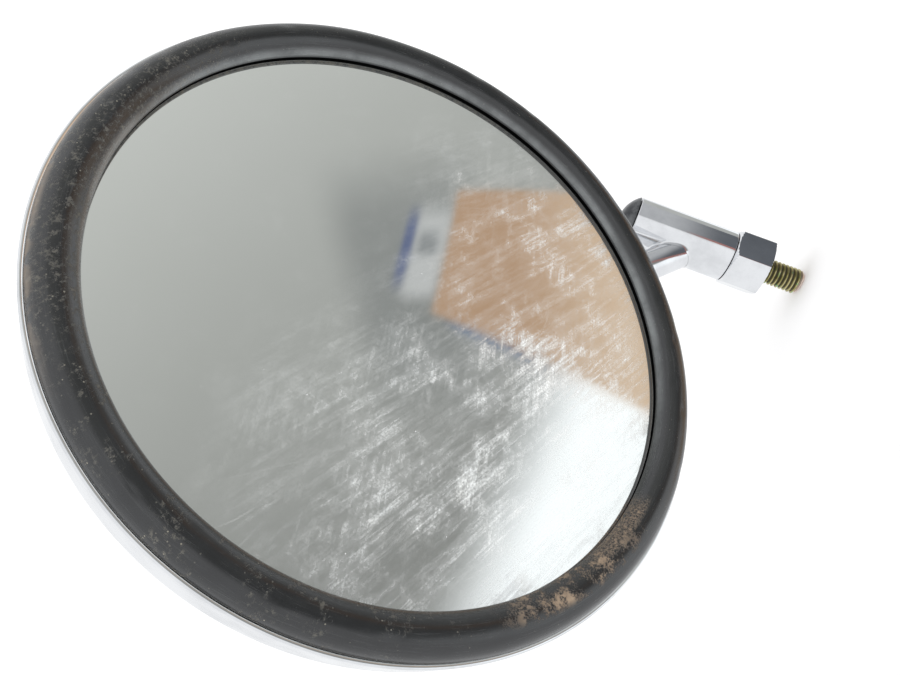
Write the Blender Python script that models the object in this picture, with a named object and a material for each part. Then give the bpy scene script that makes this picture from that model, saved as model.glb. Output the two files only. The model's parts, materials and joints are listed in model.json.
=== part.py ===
"""Round rear-view mirror with a rubber rim, a bent stem on a ball joint and a friction swivel.

Metres, +Z up. The origin is the centre of the hexagonal foot's seating face, on the stud axis:
the stud hangs down from it along -Z and the swivel boss stands on it along +Z. The mirror
hangs out towards -X and looks along -Y and a little down.

Three frames are used: the foot's own (the world), the rod's bent path, and the head's, whose
origin is the ball's centre and whose +Z leaves the glass at right angles.
"""

from math import asin, cos, pi, radians, sin, sqrt, tan

import bmesh
import bpy
from mathutils import Matrix, Vector

GAP = 0.0003  # between pieces that touch

# Foot, stud and the friction stack inside the boss, as heights above the seating face
HEX_FLATS = 0.017
HEX_HEIGHT = 0.0117
HEX_TURN = radians(46.7)  # from a corner on the X axis
HEX_CHAMFER_SLOPE = tan(radians(30))
STUD_RADIUS = 0.004
STUD_REACH = 0.012  # below the seating face
STUD_GRIP = 0.009  # inside the foot
STUD_CHAMFER = 0.001
SPIGOT_RADIUS = 0.0045
SPIGOT_TOP = 0.027
PIVOT_THREAD_RADIUS = 0.003
PIVOT_THREAD_TOP = 0.039
WASHER_THICKNESS = 0.0005
WASHER_RADIUS = 0.0078
THRUST_THICKNESS = 0.001
DISC_SPRINGS = 3
DISC_THICKNESS = 0.0005
DISC_RISE = 0.0005
STACK_RADIUS = 0.0067
LOCK_NUT_FLATS = 0.010
LOCK_NUT_HEIGHT = 0.005

# Swivel boss
BOSS_RADIUS = 0.0082
BOSS_BOTTOM = HEX_HEIGHT + 2 * GAP + WASHER_THICKNESS
BOSS_TOP = 0.044
BOSS_EDGE = 0.0006
BUSH_WALL = 0.001
STACK_BORE_RADIUS = 0.0072
CAP_RISE = 0.0045
CAP_PLUG_DEPTH = 0.0035
CAP_WALL = 0.0012

# Rod: where it leaves the boss axis, and where its two straight runs would cross
ROD_RADIUS = 0.005
ROD_START = Vector((0.0, 0.0, 0.022))
ROD_CORNER = Vector((-0.0964, 0.0152, 0.1065))
ROD_BEND_RADIUS = 0.013
ROD_END = -0.0125  # along the head's axis, from the ball's centre
BRAZE_LENGTH = 0.0035
BRAZE_RADIUS = 0.0068

# Head, along its own axis from the ball's centre
FACE_TILT_DOWN = 20.1  # degrees, the way the glass looks below the horizon
LIP_HEIGHT = 0.027
CORNER_TO_BALL = 0.033
BALL_RADIUS = 0.007
NECK_RADIUS = 0.0038
SHELL_LAYER = 0.0014  # thickness of the liner and of the seat ring
LINER_RADIUS = BALL_RADIUS + GAP
SEAT_RADIUS = LINER_RADIUS + SHELL_LAYER + GAP
SOCKET_RADIUS = SEAT_RADIUS + SHELL_LAYER + GAP
SOCKET_OPENING = 52  # degrees from the neck's axis to the edge of the opening
HOUSING_RADIUS = 0.015
HOUSING_BACK = -0.0085
CUP_BORE_RADIUS = 0.0125
CUP_TOP = 0.0115
SHELL_FLOOR = 0.002  # outer face of the flat ring round the housing
SHELL_FLOOR_RADIUS = 0.026
SHELL_WALL = 0.0009
SHELL_RADIUS = 0.0686
SHELL_SIDE = 0.019  # where the bowl turns into the side wall
SHELL_RIM = 0.0296
FLANGE_BOTTOM = SHELL_FLOOR + SHELL_WALL + GAP
FLANGE_THICKNESS = 0.002
FLANGE_RADIUS = 0.0245
PLATE_BOTTOM = 0.0175
PLATE_THICKNESS = 0.0012
PLATE_RADIUS = 0.0222
SCREW_CIRCLE = 0.0185
RIVET_CIRCLE = 0.0205
FASTENERS = 3
SCREW_RADIUS = 0.0015
RIVET_RADIUS = 0.0018
SCREW_NUT_FLATS = 0.006
SCREW_NUT_HEIGHT = 0.002
SPRING_RADIUS = 0.0062
SPRING_WIRE = 0.0007
SPRING_TURNS = 3.25

# Glass and rubber, as radii and as heights above or below the lip's plane
LIP_RADIUS = 0.060
LIP_THICKNESS = 0.0006
GLASS_RADIUS = 0.0625
GLASS_THICKNESS = 0.003
GLASS_CURVE_RADIUS = 1.2
CARD_RADIUS = 0.058
CARD_THICKNESS = 0.0012
BEAD_CENTRE = (0.0636, 0.0024)
BEAD_RADIUS = 0.0038
RUBBER_RADIUS = SHELL_RADIUS - SHELL_WALL - GAP
RUBBER_BACK = -0.009

LARGE, BARREL, MEDIUM, SMALL = 48, 40, 28, 16  # sides of a turned piece, all multiples of four
CUTTER_TWIST = radians(3.1)


# ---------------------------------------------------------------- helpers


def material(name, colour, roughness, metallic=0.0):
    made = bpy.data.materials.new(name)
    made.use_nodes = True
    shader = made.node_tree.nodes["Principled BSDF"]
    shader.inputs["Base Color"].default_value = (*colour, 1.0)
    shader.inputs["Roughness"].default_value = roughness
    shader.inputs["Metallic"].default_value = metallic
    return made


def finish_object(name, mesh_builder, surface, parent=None, smooth=40):
    """Turns a bmesh into an object with outward normals and smooth round faces."""
    bmesh.ops.recalc_face_normals(mesh_builder, faces=mesh_builder.faces)
    mesh = bpy.data.meshes.new(name)
    mesh_builder.to_mesh(mesh)
    mesh_builder.free()
    mesh.shade_smooth()
    mesh.set_sharp_from_angle(angle=radians(smooth))
    mesh.materials.append(surface)
    obj = bpy.data.objects.new(name, mesh)
    bpy.context.scene.collection.objects.link(obj)
    obj.parent = parent
    return obj


def turned_mesh(outline, sides):
    """A bmesh of a closed outline of (radius, height) points spun about Z."""
    built = bmesh.new()
    rings = []
    for radius, height in outline:
        if radius < 1e-7:
            rings.append([built.verts.new((0, 0, height))])
            continue
        angles = [2 * pi * k / sides for k in range(sides)]
        rings.append([built.verts.new((radius * cos(a), radius * sin(a), height)) for a in angles])
    for first, second in zip(rings, rings[1:] + rings[:1]):
        for k in range(sides):
            corners = []
            for ring, index in ((first, k), (first, k + 1), (second, k + 1), (second, k)):
                corner = ring[index % len(ring)]
                if corner not in corners:
                    corners.append(corner)
            if len(corners) > 2:
                built.faces.new(corners)
    return built


def turned(name, outline, sides, surface, parent=None):
    return finish_object(name, turned_mesh(outline, sides), surface, parent)


def arc(centre, radius, start, end, steps):
    """Points (radius, height) on a circle, from start to end degrees, 0 pointing outwards."""
    turns = [radians(start + (end - start) * k / steps) for k in range(steps + 1)]
    return [(centre[0] + radius * cos(t), centre[1] + radius * sin(t)) for t in turns]


def sphere_arc(radius, start, end, steps):
    """Points on a ball at the origin, from start to end degrees measured from +Z."""
    return arc((0, 0), radius, 90 - start, 90 - end, steps)


def ring_outline(inner, outer, bottom, top):
    return [(inner, bottom), (outer, bottom), (outer, top), (inner, top)]


def hex_mesh(flats, bottom, top, turn=0.0):
    """A hexagonal prism with one corner turned this far from the X axis."""
    built = bmesh.new()
    corner = flats / sqrt(3)
    angles = [turn + radians(60 * k) for k in range(6)]
    low = [built.verts.new((corner * cos(a), corner * sin(a), bottom)) for a in angles]
    high = [built.verts.new((corner * cos(a), corner * sin(a), top)) for a in angles]
    built.faces.new(low[::-1])
    built.faces.new(high)
    for k in range(6):
        built.faces.new((low[k], low[(k + 1) % 6], high[(k + 1) % 6], high[k]))
    return built


def cutter(name, mesh_builder, parent=None):
    obj = finish_object(name, mesh_builder, STEEL, parent)
    obj.hide_render = True
    obj.display_type = "WIRE"
    return obj


def combine(obj, other, operation):
    boolean = obj.modifiers.new(other.name, "BOOLEAN")
    boolean.operation = operation
    boolean.solver = "EXACT"
    boolean.object = other


def swept_mesh(path, radius, sides):
    """A round bar of one radius along a list of points, its rings carried without twist."""
    built = bmesh.new()
    runs = [(b - a).normalized() for a, b in zip(path, path[1:])]
    tangents = [runs[0]] + [(a + b).normalized() for a, b in zip(runs, runs[1:])] + [runs[-1]]
    across = tangents[0].orthogonal().normalized()
    rings = []
    for point, tangent in zip(path, tangents):
        across = (across - tangent * across.dot(tangent)).normalized()
        upward = tangent.cross(across)
        angles = [2 * pi * k / sides for k in range(sides)]
        rings.append([built.verts.new(point + radius * (across * cos(a) + upward * sin(a))) for a in angles])
    for first, second in zip(rings, rings[1:]):
        for k in range(sides):
            following = (k + 1) % sides
            built.faces.new((first[k], first[following], second[following], second[k]))
    built.faces.new(rings[0][::-1])
    built.faces.new(rings[-1])
    return built


def cylinder_mesh(radius, bottom, top, sides, x=0.0, y=0.0):
    """A bar along Z, turned a little so that its corners miss those of the piece it cuts."""
    outline = [(0, bottom), (radius, bottom), (radius, top), (0, top)]
    built = turned_mesh(outline, sides)
    place = Matrix.Translation((x, y, 0)) @ Matrix.Rotation(CUTTER_TWIST, 4, "Z")
    bmesh.ops.transform(built, matrix=place, verts=built.verts)
    return built


def spots(circle, first_angle):
    """Evenly spaced fastener places on a circle about the head's axis."""
    for k in range(FASTENERS):
        angle = radians(first_angle + 360 * k / FASTENERS)
        yield k + 1, circle * cos(angle), circle * sin(angle)


# ---------------------------------------------------------------- frames


def head_axis():
    """Unit vector out of the glass, looking along -Y and down."""
    drop = radians(FACE_TILT_DOWN)
    return Vector((0, -cos(drop), -sin(drop)))


def ball_centre():
    return ROD_CORNER + CORNER_TO_BALL * head_axis()


def head_frame():
    """An empty at the ball's centre whose +Z leaves the glass and whose +X is the world's."""
    out = head_axis()
    side = Vector((1, 0, 0))
    empty = bpy.data.objects.new("head_frame", None)
    bpy.context.scene.collection.objects.link(empty)
    turn = Matrix((side, out.cross(side), out)).transposed().to_4x4()
    empty.matrix_world = Matrix.Translation(ball_centre()) @ turn
    return empty


# ---------------------------------------------------------------- foot


def build_hex_base():
    """Chamfered hexagon with a blind stud hole below and a spigot and thread above."""
    foot = finish_object("hex_base", hex_mesh(HEX_FLATS, 0, HEX_HEIGHT, HEX_TURN), CHROME)
    corner = HEX_FLATS / sqrt(3)
    face = HEX_FLATS / 2 - 0.0003
    fall = (corner + 0.001 - face) * HEX_CHAMFER_SLOPE
    cone = [(0, -0.001), (corner + 0.001, -0.001), (corner + 0.001, HEX_HEIGHT - fall),
            (face, HEX_HEIGHT), (0, HEX_HEIGHT)]
    combine(foot, cutter("chamfer_cone", turned_mesh(cone, MEDIUM)), "INTERSECT")
    edge = 0.0004
    spigot = [(0, HEX_HEIGHT - 0.001), (SPIGOT_RADIUS, HEX_HEIGHT - 0.001),
              (SPIGOT_RADIUS, SPIGOT_TOP), (PIVOT_THREAD_RADIUS, SPIGOT_TOP),
              (PIVOT_THREAD_RADIUS, PIVOT_THREAD_TOP - edge),
              (PIVOT_THREAD_RADIUS - edge, PIVOT_THREAD_TOP), (0, PIVOT_THREAD_TOP)]
    combine(foot, cutter("spigot", turned_mesh(spigot, MEDIUM)), "UNION")
    hole = cylinder_mesh(STUD_RADIUS + GAP, -0.001, STUD_GRIP + GAP, MEDIUM)
    combine(foot, cutter("stud_hole", hole), "DIFFERENCE")


def build_stud():
    tip = -STUD_REACH
    outline = [(0, tip), (STUD_RADIUS - STUD_CHAMFER, tip), (STUD_RADIUS, tip + STUD_CHAMFER),
               (STUD_RADIUS, STUD_GRIP), (0, STUD_GRIP)]
    turned("threaded_stud", outline, MEDIUM, ZINC)


def build_friction_stack():
    """Fibre washer under the boss; thrust washer, disc springs and lock nut inside it."""
    low = HEX_HEIGHT + GAP
    outline = ring_outline(SPIGOT_RADIUS + GAP, WASHER_RADIUS, low, low + WASHER_THICKNESS)
    turned("friction_washer", outline, MEDIUM, FIBRE)

    hole = PIVOT_THREAD_RADIUS + GAP
    low = SPIGOT_TOP + GAP
    turned("thrust_washer", ring_outline(hole, STACK_RADIUS, low, low + THRUST_THICKNESS), MEDIUM, STEEL)
    low += THRUST_THICKNESS + GAP
    for k in range(DISC_SPRINGS):
        outline = [(hole, low + DISC_RISE), (STACK_RADIUS, low), (STACK_RADIUS, low + DISC_THICKNESS),
                   (hole, low + DISC_RISE + DISC_THICKNESS)]
        turned(f"disc_spring_{k + 1}", outline, MEDIUM, STEEL)
        low += DISC_THICKNESS + GAP
    low += DISC_RISE
    nut = finish_object("lock_nut", hex_mesh(LOCK_NUT_FLATS, low, low + LOCK_NUT_HEIGHT), STEEL)
    bore = cylinder_mesh(hole, low - 0.001, low + LOCK_NUT_HEIGHT + 0.001, MEDIUM)
    combine(nut, cutter("lock_nut_bore", bore), "DIFFERENCE")


# ---------------------------------------------------------------- arm


def build_boss():
    """Barrel with a bush bore below and a wider bore for the friction stack above."""
    bush_bore = SPIGOT_RADIUS + GAP + BUSH_WALL + GAP
    outline = [(bush_bore, BOSS_BOTTOM), (BOSS_RADIUS - BOSS_EDGE, BOSS_BOTTOM),
               (BOSS_RADIUS, BOSS_BOTTOM + BOSS_EDGE), (BOSS_RADIUS, BOSS_TOP),
               (STACK_BORE_RADIUS, BOSS_TOP), (STACK_BORE_RADIUS, SPIGOT_TOP),
               (bush_bore, SPIGOT_TOP)]
    turned("swivel_boss", outline, BARREL, CHROME)
    inner = SPIGOT_RADIUS + GAP
    bush = ring_outline(inner, inner + BUSH_WALL, BOSS_BOTTOM, SPIGOT_TOP - GAP)
    turned("bush", bush, MEDIUM, BRONZE)


def build_end_cap():
    """Domed cap with a plug skirt that presses into the boss."""
    seat = BOSS_TOP + GAP
    dome_radius = ((BOSS_RADIUS ** 2) + CAP_RISE ** 2) / (2 * CAP_RISE)
    centre = (0, seat + CAP_RISE - dome_radius)
    half = 90 - asin(BOSS_RADIUS / dome_radius) * 180 / pi
    outer = arc(centre, dome_radius, half, 90, 5)
    inner_radius = dome_radius - CAP_WALL
    plug = STACK_BORE_RADIUS - GAP
    hollow = plug - CAP_WALL
    inner_start = 90 - asin(hollow / inner_radius) * 180 / pi
    inner = arc(centre, inner_radius, 90, inner_start, 4)
    skirt = [(hollow, seat - CAP_PLUG_DEPTH), (plug, seat - CAP_PLUG_DEPTH), (plug, seat)]
    turned("end_cap", outer + inner + skirt, MEDIUM, DARK_STEEL)


def rod_path():
    """Straight from the boss axis, round the bend, then straight to the ball stud."""
    run = (ROD_CORNER - ROD_START).normalized()
    out = head_axis()
    turn = run.angle(out)
    reach = ROD_BEND_RADIUS * tan(turn / 2)
    bend_start = ROD_CORNER - reach * run
    inward = (out - run * out.dot(run)).normalized()
    centre = bend_start + ROD_BEND_RADIUS * inward
    steps = 12
    path = [ROD_START]
    for k in range(steps + 1):
        angle = turn * k / steps
        path.append(centre + ROD_BEND_RADIUS * (run * sin(angle) - inward * cos(angle)))
    path.append(ball_centre() + ROD_END * out)
    return path


def build_rod():
    """Bent rod, mitred to the boss, with a braze fillet round the joint."""
    rod = finish_object("stem_rod", swept_mesh(rod_path(), ROD_RADIUS, MEDIUM), CHROME)
    clearance = cylinder_mesh(BOSS_RADIUS + GAP, 0, 2 * BOSS_TOP, BARREL)
    boss_cutter = cutter("boss_clearance", clearance)
    combine(rod, boss_cutter, "DIFFERENCE")

    run = (ROD_CORNER - ROD_START).normalized()
    reach = BOSS_RADIUS / sqrt(run.x ** 2 + run.y ** 2)
    turn = run.to_track_quat("Z", "Y").to_matrix().to_4x4()
    frame = Matrix.Translation(ROD_START) @ turn
    inner = ROD_RADIUS + GAP
    outline = [(inner, 0.002), (BRAZE_RADIUS, 0.002), (BRAZE_RADIUS, reach), (inner + GAP, reach + BRAZE_LENGTH),
               (inner, reach + BRAZE_LENGTH)]
    fillet_mesh = turned_mesh(outline, MEDIUM)
    bmesh.ops.transform(fillet_mesh, matrix=frame, verts=fillet_mesh.verts)
    fillet = finish_object("braze_fillet", fillet_mesh, CHROME)
    combine(fillet, boss_cutter, "DIFFERENCE")


def build_ball_stud(head):
    """Ball, neck and the shoulder that is welded to the rod's end."""
    shoulder = ROD_END + GAP
    shoulder_top = shoulder + 0.0014
    contact = 180 - asin(NECK_RADIUS / BALL_RADIUS) * 180 / pi
    outline = sphere_arc(BALL_RADIUS, 0, contact, 9)
    outline += [(NECK_RADIUS, shoulder_top), (ROD_RADIUS, shoulder_top), (ROD_RADIUS, shoulder), (0, shoulder)]
    turned("ball_stud", outline, MEDIUM, STEEL, head)


# ---------------------------------------------------------------- ball joint


def build_ball_layers(head):
    """Liner round the ball and the seat ring round the liner.

    Their walls are parts of spheres about the ball's centre, so that each turns in the next.
    """
    start, end = 15, 180 - SOCKET_OPENING + 1
    outline = sphere_arc(LINER_RADIUS, start, end, 7)
    outline += sphere_arc(LINER_RADIUS + SHELL_LAYER, end, start, 7)
    turned("ball_liner", outline, MEDIUM, NYLON, head)
    start, end = 60, 180 - SOCKET_OPENING
    outline = sphere_arc(SEAT_RADIUS, start, end, 4)
    outline += sphere_arc(SEAT_RADIUS + SHELL_LAYER, end, start, 4)
    turned("seat_ring", outline, MEDIUM, BRONZE, head)


# ---------------------------------------------------------------- head


def build_housing(head):
    """Socket with a flange that is riveted to the shell, open towards the rod."""
    edge = 180 - SOCKET_OPENING
    mouth = -HOUSING_BACK * tan(radians(SOCKET_OPENING))
    outline = [(mouth, HOUSING_BACK), (HOUSING_RADIUS - BOSS_EDGE, HOUSING_BACK),
               (HOUSING_RADIUS, HOUSING_BACK + BOSS_EDGE), (HOUSING_RADIUS, FLANGE_BOTTOM),
               (FLANGE_RADIUS, FLANGE_BOTTOM), (FLANGE_RADIUS, FLANGE_BOTTOM + FLANGE_THICKNESS),
               (CUP_BORE_RADIUS, FLANGE_BOTTOM + FLANGE_THICKNESS), (CUP_BORE_RADIUS, 0)]
    outline += sphere_arc(SOCKET_RADIUS, 90, edge, 4)
    housing = turned("socket_housing", outline, BARREL, STEEL, head)
    drill_fasteners(housing, head)


def drill_fasteners(obj, head):
    """Holes for the screws and the rivets, through whatever they pass."""
    for kind, circle, radius, first in (("screw", SCREW_CIRCLE, SCREW_RADIUS, 90),
                                        ("rivet", RIVET_CIRCLE, RIVET_RADIUS, 30)):
        for number, x, y in spots(circle, first):
            name = f"{kind}_hole_{number}"
            hole = bpy.data.objects.get(name)
            if hole is None:
                hole = cutter(name, cylinder_mesh(radius + GAP, -0.004, 0.022, 16, x, y), head)
            combine(obj, hole, "DIFFERENCE")


def build_cup(head):
    """Pressure cup that the spring pushes onto the seat ring."""
    start = 18
    outline = sphere_arc(SOCKET_RADIUS, start, 88, 6)
    wall = CUP_BORE_RADIUS - GAP
    hole = SOCKET_RADIUS * sin(radians(start))
    outline += [(wall, outline[-1][1]), (wall, CUP_TOP - 0.002), (wall - 0.0017, CUP_TOP), (hole, CUP_TOP)]
    turned("pressure_cup", outline, MEDIUM, STEEL, head)


def build_spring(head):
    """Closed-ended coil spring between the cup and the clamp plate."""
    low = CUP_TOP + GAP + SPRING_WIRE
    high = PLATE_BOTTOM - GAP - SPRING_WIRE
    steps = int(SPRING_TURNS * 14)
    path = []
    for k in range(steps + 1):
        share = k / steps
        angle = 2 * pi * SPRING_TURNS * share
        path.append(Vector((SPRING_RADIUS * cos(angle), SPRING_RADIUS * sin(angle), low + (high - low) * share)))
    finish_object("ball_spring", swept_mesh(path, SPRING_WIRE, 6), STEEL, head, smooth=80)


def build_plate(head):
    outline = ring_outline(0.003, PLATE_RADIUS, PLATE_BOTTOM, PLATE_BOTTOM + PLATE_THICKNESS)
    plate = turned("clamp_plate", outline, BARREL, STEEL, head)
    for number, _, _ in spots(SCREW_CIRCLE, 90):
        combine(plate, bpy.data.objects[f"screw_hole_{number}"], "DIFFERENCE")


def build_fasteners(head):
    """Three clamp screws with nuts, and three rivets between them."""
    head_top = SHELL_FLOOR - GAP
    screw_end = PLATE_BOTTOM + PLATE_THICKNESS + GAP + SCREW_NUT_HEIGHT + 0.0003
    screw = [(0, head_top - 0.0021), (0.0022, head_top - 0.0019), (0.0031, head_top - 0.0009),
             (0.0031, head_top), (SCREW_RADIUS, head_top), (SCREW_RADIUS, screw_end), (0, screw_end)]
    nut_low = PLATE_BOTTOM + PLATE_THICKNESS + GAP
    for number, x, y in spots(SCREW_CIRCLE, 90):
        turned(f"clamp_screw_{number}", screw, SMALL, STEEL, head).location = (x, y, 0)
        nut = finish_object(f"clamp_nut_{number}",
                            hex_mesh(SCREW_NUT_FLATS, nut_low, nut_low + SCREW_NUT_HEIGHT), STEEL, head)
        nut.location = (x, y, 0)
        combine(nut, bpy.data.objects[f"screw_hole_{number}"], "DIFFERENCE")
    inside = FLANGE_BOTTOM + FLANGE_THICKNESS + GAP
    rivet = [(0, head_top - 0.0014), (0.0018, head_top - 0.0012), (0.0030, head_top - 0.0005), (0.0031, head_top),
              (RIVET_RADIUS, head_top), (RIVET_RADIUS, inside), (0.0028, inside),
              (0.0026, inside + 0.0006), (0.0015, inside + 0.0011), (0, inside + 0.0012)]
    for number, x, y in spots(RIVET_CIRCLE, 30):
        turned(f"rivet_{number}", rivet, SMALL, STEEL, head).location = (x, y, 0)


def bowl_line(inset, steps):
    """The shell's bowl from its flat floor to its side wall, moved inwards by inset.

    A quarter of an ellipse whose corner is the floor's edge and whose end is the side wall.
    """
    wide = SHELL_RADIUS - SHELL_FLOOR_RADIUS
    tall = SHELL_SIDE - SHELL_FLOOR
    points = []
    for k in range(steps + 1):
        angle = pi / 2 * k / steps
        points.append((SHELL_FLOOR_RADIUS + (wide - inset) * sin(angle),
                       SHELL_SIDE - (tall - inset) * cos(angle)))
    return points


def build_shell(head):
    """Pressed bowl with a flat floor for the housing and a rolled rim round the rubber."""
    hole = HOUSING_RADIUS + GAP
    steps = 7
    rolled = arc((SHELL_RADIUS - SHELL_WALL / 2, SHELL_RIM - SHELL_WALL / 2), SHELL_WALL / 2, 0, 180, 4)
    outline = [(hole, SHELL_FLOOR)] + bowl_line(0, steps) + rolled
    outline += bowl_line(SHELL_WALL, steps)[::-1] + [(hole, SHELL_FLOOR + SHELL_WALL)]
    shell = turned("back_shell", outline, LARGE, CHROME, head)
    drill_fasteners(shell, head)


def glass_height(radius):
    """Height of the convex front face, set so that it lies just under the lip."""
    edge = LIP_HEIGHT - LIP_THICKNESS - GAP
    return edge + (LIP_RADIUS ** 2 - radius ** 2) / (2 * GLASS_CURVE_RADIUS)


def domed_disc(radius, thickness, lowered, steps):
    """Outline of a disc that follows the glass, its front face lowered by some depth."""
    radii = [radius * k / steps for k in range(steps + 1)]
    front = [(r, glass_height(r) - lowered) for r in radii]
    back = [(r, h - thickness) for r, h in front[::-1]]
    return front + back


def build_glass(head):
    turned("mirror_glass", domed_disc(GLASS_RADIUS, GLASS_THICKNESS, 0, 4), LARGE, MIRROR, head)
    card = domed_disc(CARD_RADIUS, CARD_THICKNESS, GLASS_THICKNESS + GAP, 3)
    turned("backing_card", card, BARREL, CARD, head)


def build_rim(head):
    """Rubber moulding: thin lip over the glass, groove, round bead, and a foot inside the shell."""
    lip = LIP_HEIGHT
    under = lip - LIP_THICKNESS
    glass_edge = GLASS_RADIUS + GAP
    back = glass_height(GLASS_RADIUS) - GLASS_THICKNESS - GAP
    bead = (BEAD_CENTRE[0], lip + BEAD_CENTRE[1])
    outline = [(LIP_RADIUS + 0.0001, under), (LIP_RADIUS, lip - 0.0002), (LIP_RADIUS + 0.0002, lip),
               (LIP_RADIUS + 0.0006, lip)]
    outline += arc(bead, BEAD_RADIUS, 225, 0, 10)
    outline += [(RUBBER_RADIUS, lip + RUBBER_BACK),
                (GLASS_RADIUS, lip + RUBBER_BACK), (LIP_RADIUS + 0.0008, back - 0.0015),
                (LIP_RADIUS + 0.0004, back), (glass_edge, back), (glass_edge, under)]
    turned("rubber_rim", outline, LARGE, RUBBER, head)


# ---------------------------------------------------------------- assembly

CHROME = material("chrome", (0.78, 0.79, 0.80), 0.12, 1.0)
STEEL = material("steel", (0.55, 0.56, 0.57), 0.35, 1.0)
DARK_STEEL = material("dark_steel", (0.16, 0.16, 0.17), 0.35, 1.0)
ZINC = material("yellow_zinc", (0.60, 0.52, 0.25), 0.35, 1.0)
BRONZE = material("bronze", (0.55, 0.36, 0.18), 0.4, 1.0)
FIBRE = material("fibre", (0.30, 0.10, 0.06), 0.8)
NYLON = material("nylon", (0.85, 0.83, 0.76), 0.5)
RUBBER = material("rubber", (0.03, 0.03, 0.032), 0.55)
CARD = material("card", (0.35, 0.27, 0.18), 0.9)
MIRROR = material("mirror", (0.75, 0.78, 0.78), 0.04, 1.0)


def main():
    for startup in list(bpy.data.objects):
        bpy.data.objects.remove(startup, do_unlink=True)
    head = head_frame()
    build_hex_base()
    build_stud()
    build_friction_stack()
    build_boss()
    build_end_cap()
    build_rod()
    build_ball_stud(head)
    build_ball_layers(head)
    build_housing(head)
    build_cup(head)
    build_spring(head)
    build_plate(head)
    build_fasteners(head)
    build_shell(head)
    build_glass(head)
    build_rim(head)


main()
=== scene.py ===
# %% [markdown]
# # A round rear-view mirror, finished over its engineering frame
#
# The engineering model already knows where every part is and how it moves. This lesson puts
# the visible skin on it: turned, pressed and moulded surfaces worked out with numpy, and
# finishes made from shader nodes. Each step says what the real piece is, how it could be
# made in Blender, and why one way was chosen.

# %% Load the frame and keep its box
import json

import bmesh
import bpy
import numpy as np
from mathutils import Matrix, Vector


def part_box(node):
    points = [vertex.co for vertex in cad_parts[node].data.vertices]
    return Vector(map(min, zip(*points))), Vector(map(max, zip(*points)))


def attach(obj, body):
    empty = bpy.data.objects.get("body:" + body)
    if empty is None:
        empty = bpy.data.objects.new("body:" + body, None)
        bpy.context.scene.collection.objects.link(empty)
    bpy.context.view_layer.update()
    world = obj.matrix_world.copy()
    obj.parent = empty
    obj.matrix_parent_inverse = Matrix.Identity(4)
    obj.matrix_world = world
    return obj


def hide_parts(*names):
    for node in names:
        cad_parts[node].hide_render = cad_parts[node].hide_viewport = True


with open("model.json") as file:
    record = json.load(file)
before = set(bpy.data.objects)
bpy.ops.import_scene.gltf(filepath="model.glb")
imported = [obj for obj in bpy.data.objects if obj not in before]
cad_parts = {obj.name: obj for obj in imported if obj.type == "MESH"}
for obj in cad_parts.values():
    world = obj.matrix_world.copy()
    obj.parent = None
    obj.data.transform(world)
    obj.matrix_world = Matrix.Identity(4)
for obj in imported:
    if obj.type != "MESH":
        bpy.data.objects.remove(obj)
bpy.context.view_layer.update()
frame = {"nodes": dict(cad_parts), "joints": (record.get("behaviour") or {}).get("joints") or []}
joints = {joint["name"]: joint for joint in frame["joints"]}

# %% [markdown]
# ## Two working frames
#
# The foot, the stud and the boss are round about the upright Z axis. Everything on the head
# is round about the line that leaves the glass at right angles. Each turned surface is
# easiest to describe as a radius and a height, so the head gets its own frame: its origin is
# the ball's centre and its Z is the axis of the head's spin joint. Reading it from the joint
# keeps the looks true to the mechanics.

# %% The head's frame, read from its spin joint
ball_place = np.array(joints["head_spin"]["pos_m"])
head_axis = np.array(joints["head_spin"]["axis"], float)
head_axis /= np.linalg.norm(head_axis)
head_side = np.array([1.0, 0.0, 0.0])
head_up = np.cross(head_axis, head_side)
HEAD = np.stack([head_side, head_up, head_axis], axis=1)
FOOT = np.eye(3)
print("ball centre", np.round(ball_place, 4), "glass looks along", np.round(head_axis, 3))


# %% Measure a node in its own frame
def reach(node, turn=FOOT, origin=(0.0, 0.0, 0.0)):
    """(largest radius, lowest height, highest height) of a node about a frame's Z axis."""
    points = np.array([v.co for v in frame["nodes"][node].data.vertices]) - np.array(origin)
    local = points @ turn
    return np.hypot(local[:, 0], local[:, 1]).max(), local[:, 2].min(), local[:, 2].max()


shell_reach = reach("back_shell", HEAD, ball_place)
rim_reach = reach("rubber_rim", HEAD, ball_place)
glass_reach = reach("mirror_glass", HEAD, ball_place)
print("shell", np.round(shell_reach, 4), "rim", np.round(rim_reach, 4))

# %% [markdown]
# ## From a grid of points to a clean mesh
#
# Every new surface is a function of two parameters, sampled on a grid: rows run along a
# profile or a path, columns run round it. Blender needs vertices and faces, so one helper
# joins each grid cell into a quad. A turned part could instead be drawn as a profile and
# given a Screw modifier, but a formula gives us something that the modifier can't: values
# stored at each point, such as how deep a thread is, which the finishes read later.

# %% Grid to mesh
CLOSE = 2e-7  # metres; points nearer than this are one point


def grid_mesh(name, points, wrap_rows, values):
    """Joins points[row, column] into quads, columns always wrapping round.

    Face (i, j) has the corners (i, j), (i + 1, j), (i + 1, j + 1) and (i, j + 1).
    """
    rows, columns = points.shape[:2]
    row = np.arange(rows if wrap_rows else rows - 1)[:, None]
    column = np.arange(columns)[None, :]
    next_row, next_column = (row + 1) % rows, (column + 1) % columns
    corners = [row * columns + column, next_row * columns + column,
               next_row * columns + next_column, row * columns + next_column]
    quads = np.stack(np.broadcast_arrays(*corners), axis=-1).reshape(-1, 4)
    mesh = bpy.data.meshes.new(name)
    mesh.from_pydata(points.reshape(-1, 3).tolist(), [], quads.tolist())
    for label, numbers in values.items():
        kind = "FLOAT" if numbers.ndim == 2 else "FLOAT_VECTOR"
        field = "value" if kind == "FLOAT" else "vector"
        layer = mesh.attributes.new(label, kind, "POINT")
        layer.data.foreach_set(field, numbers.astype(np.float32).ravel())
    return mesh


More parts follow.
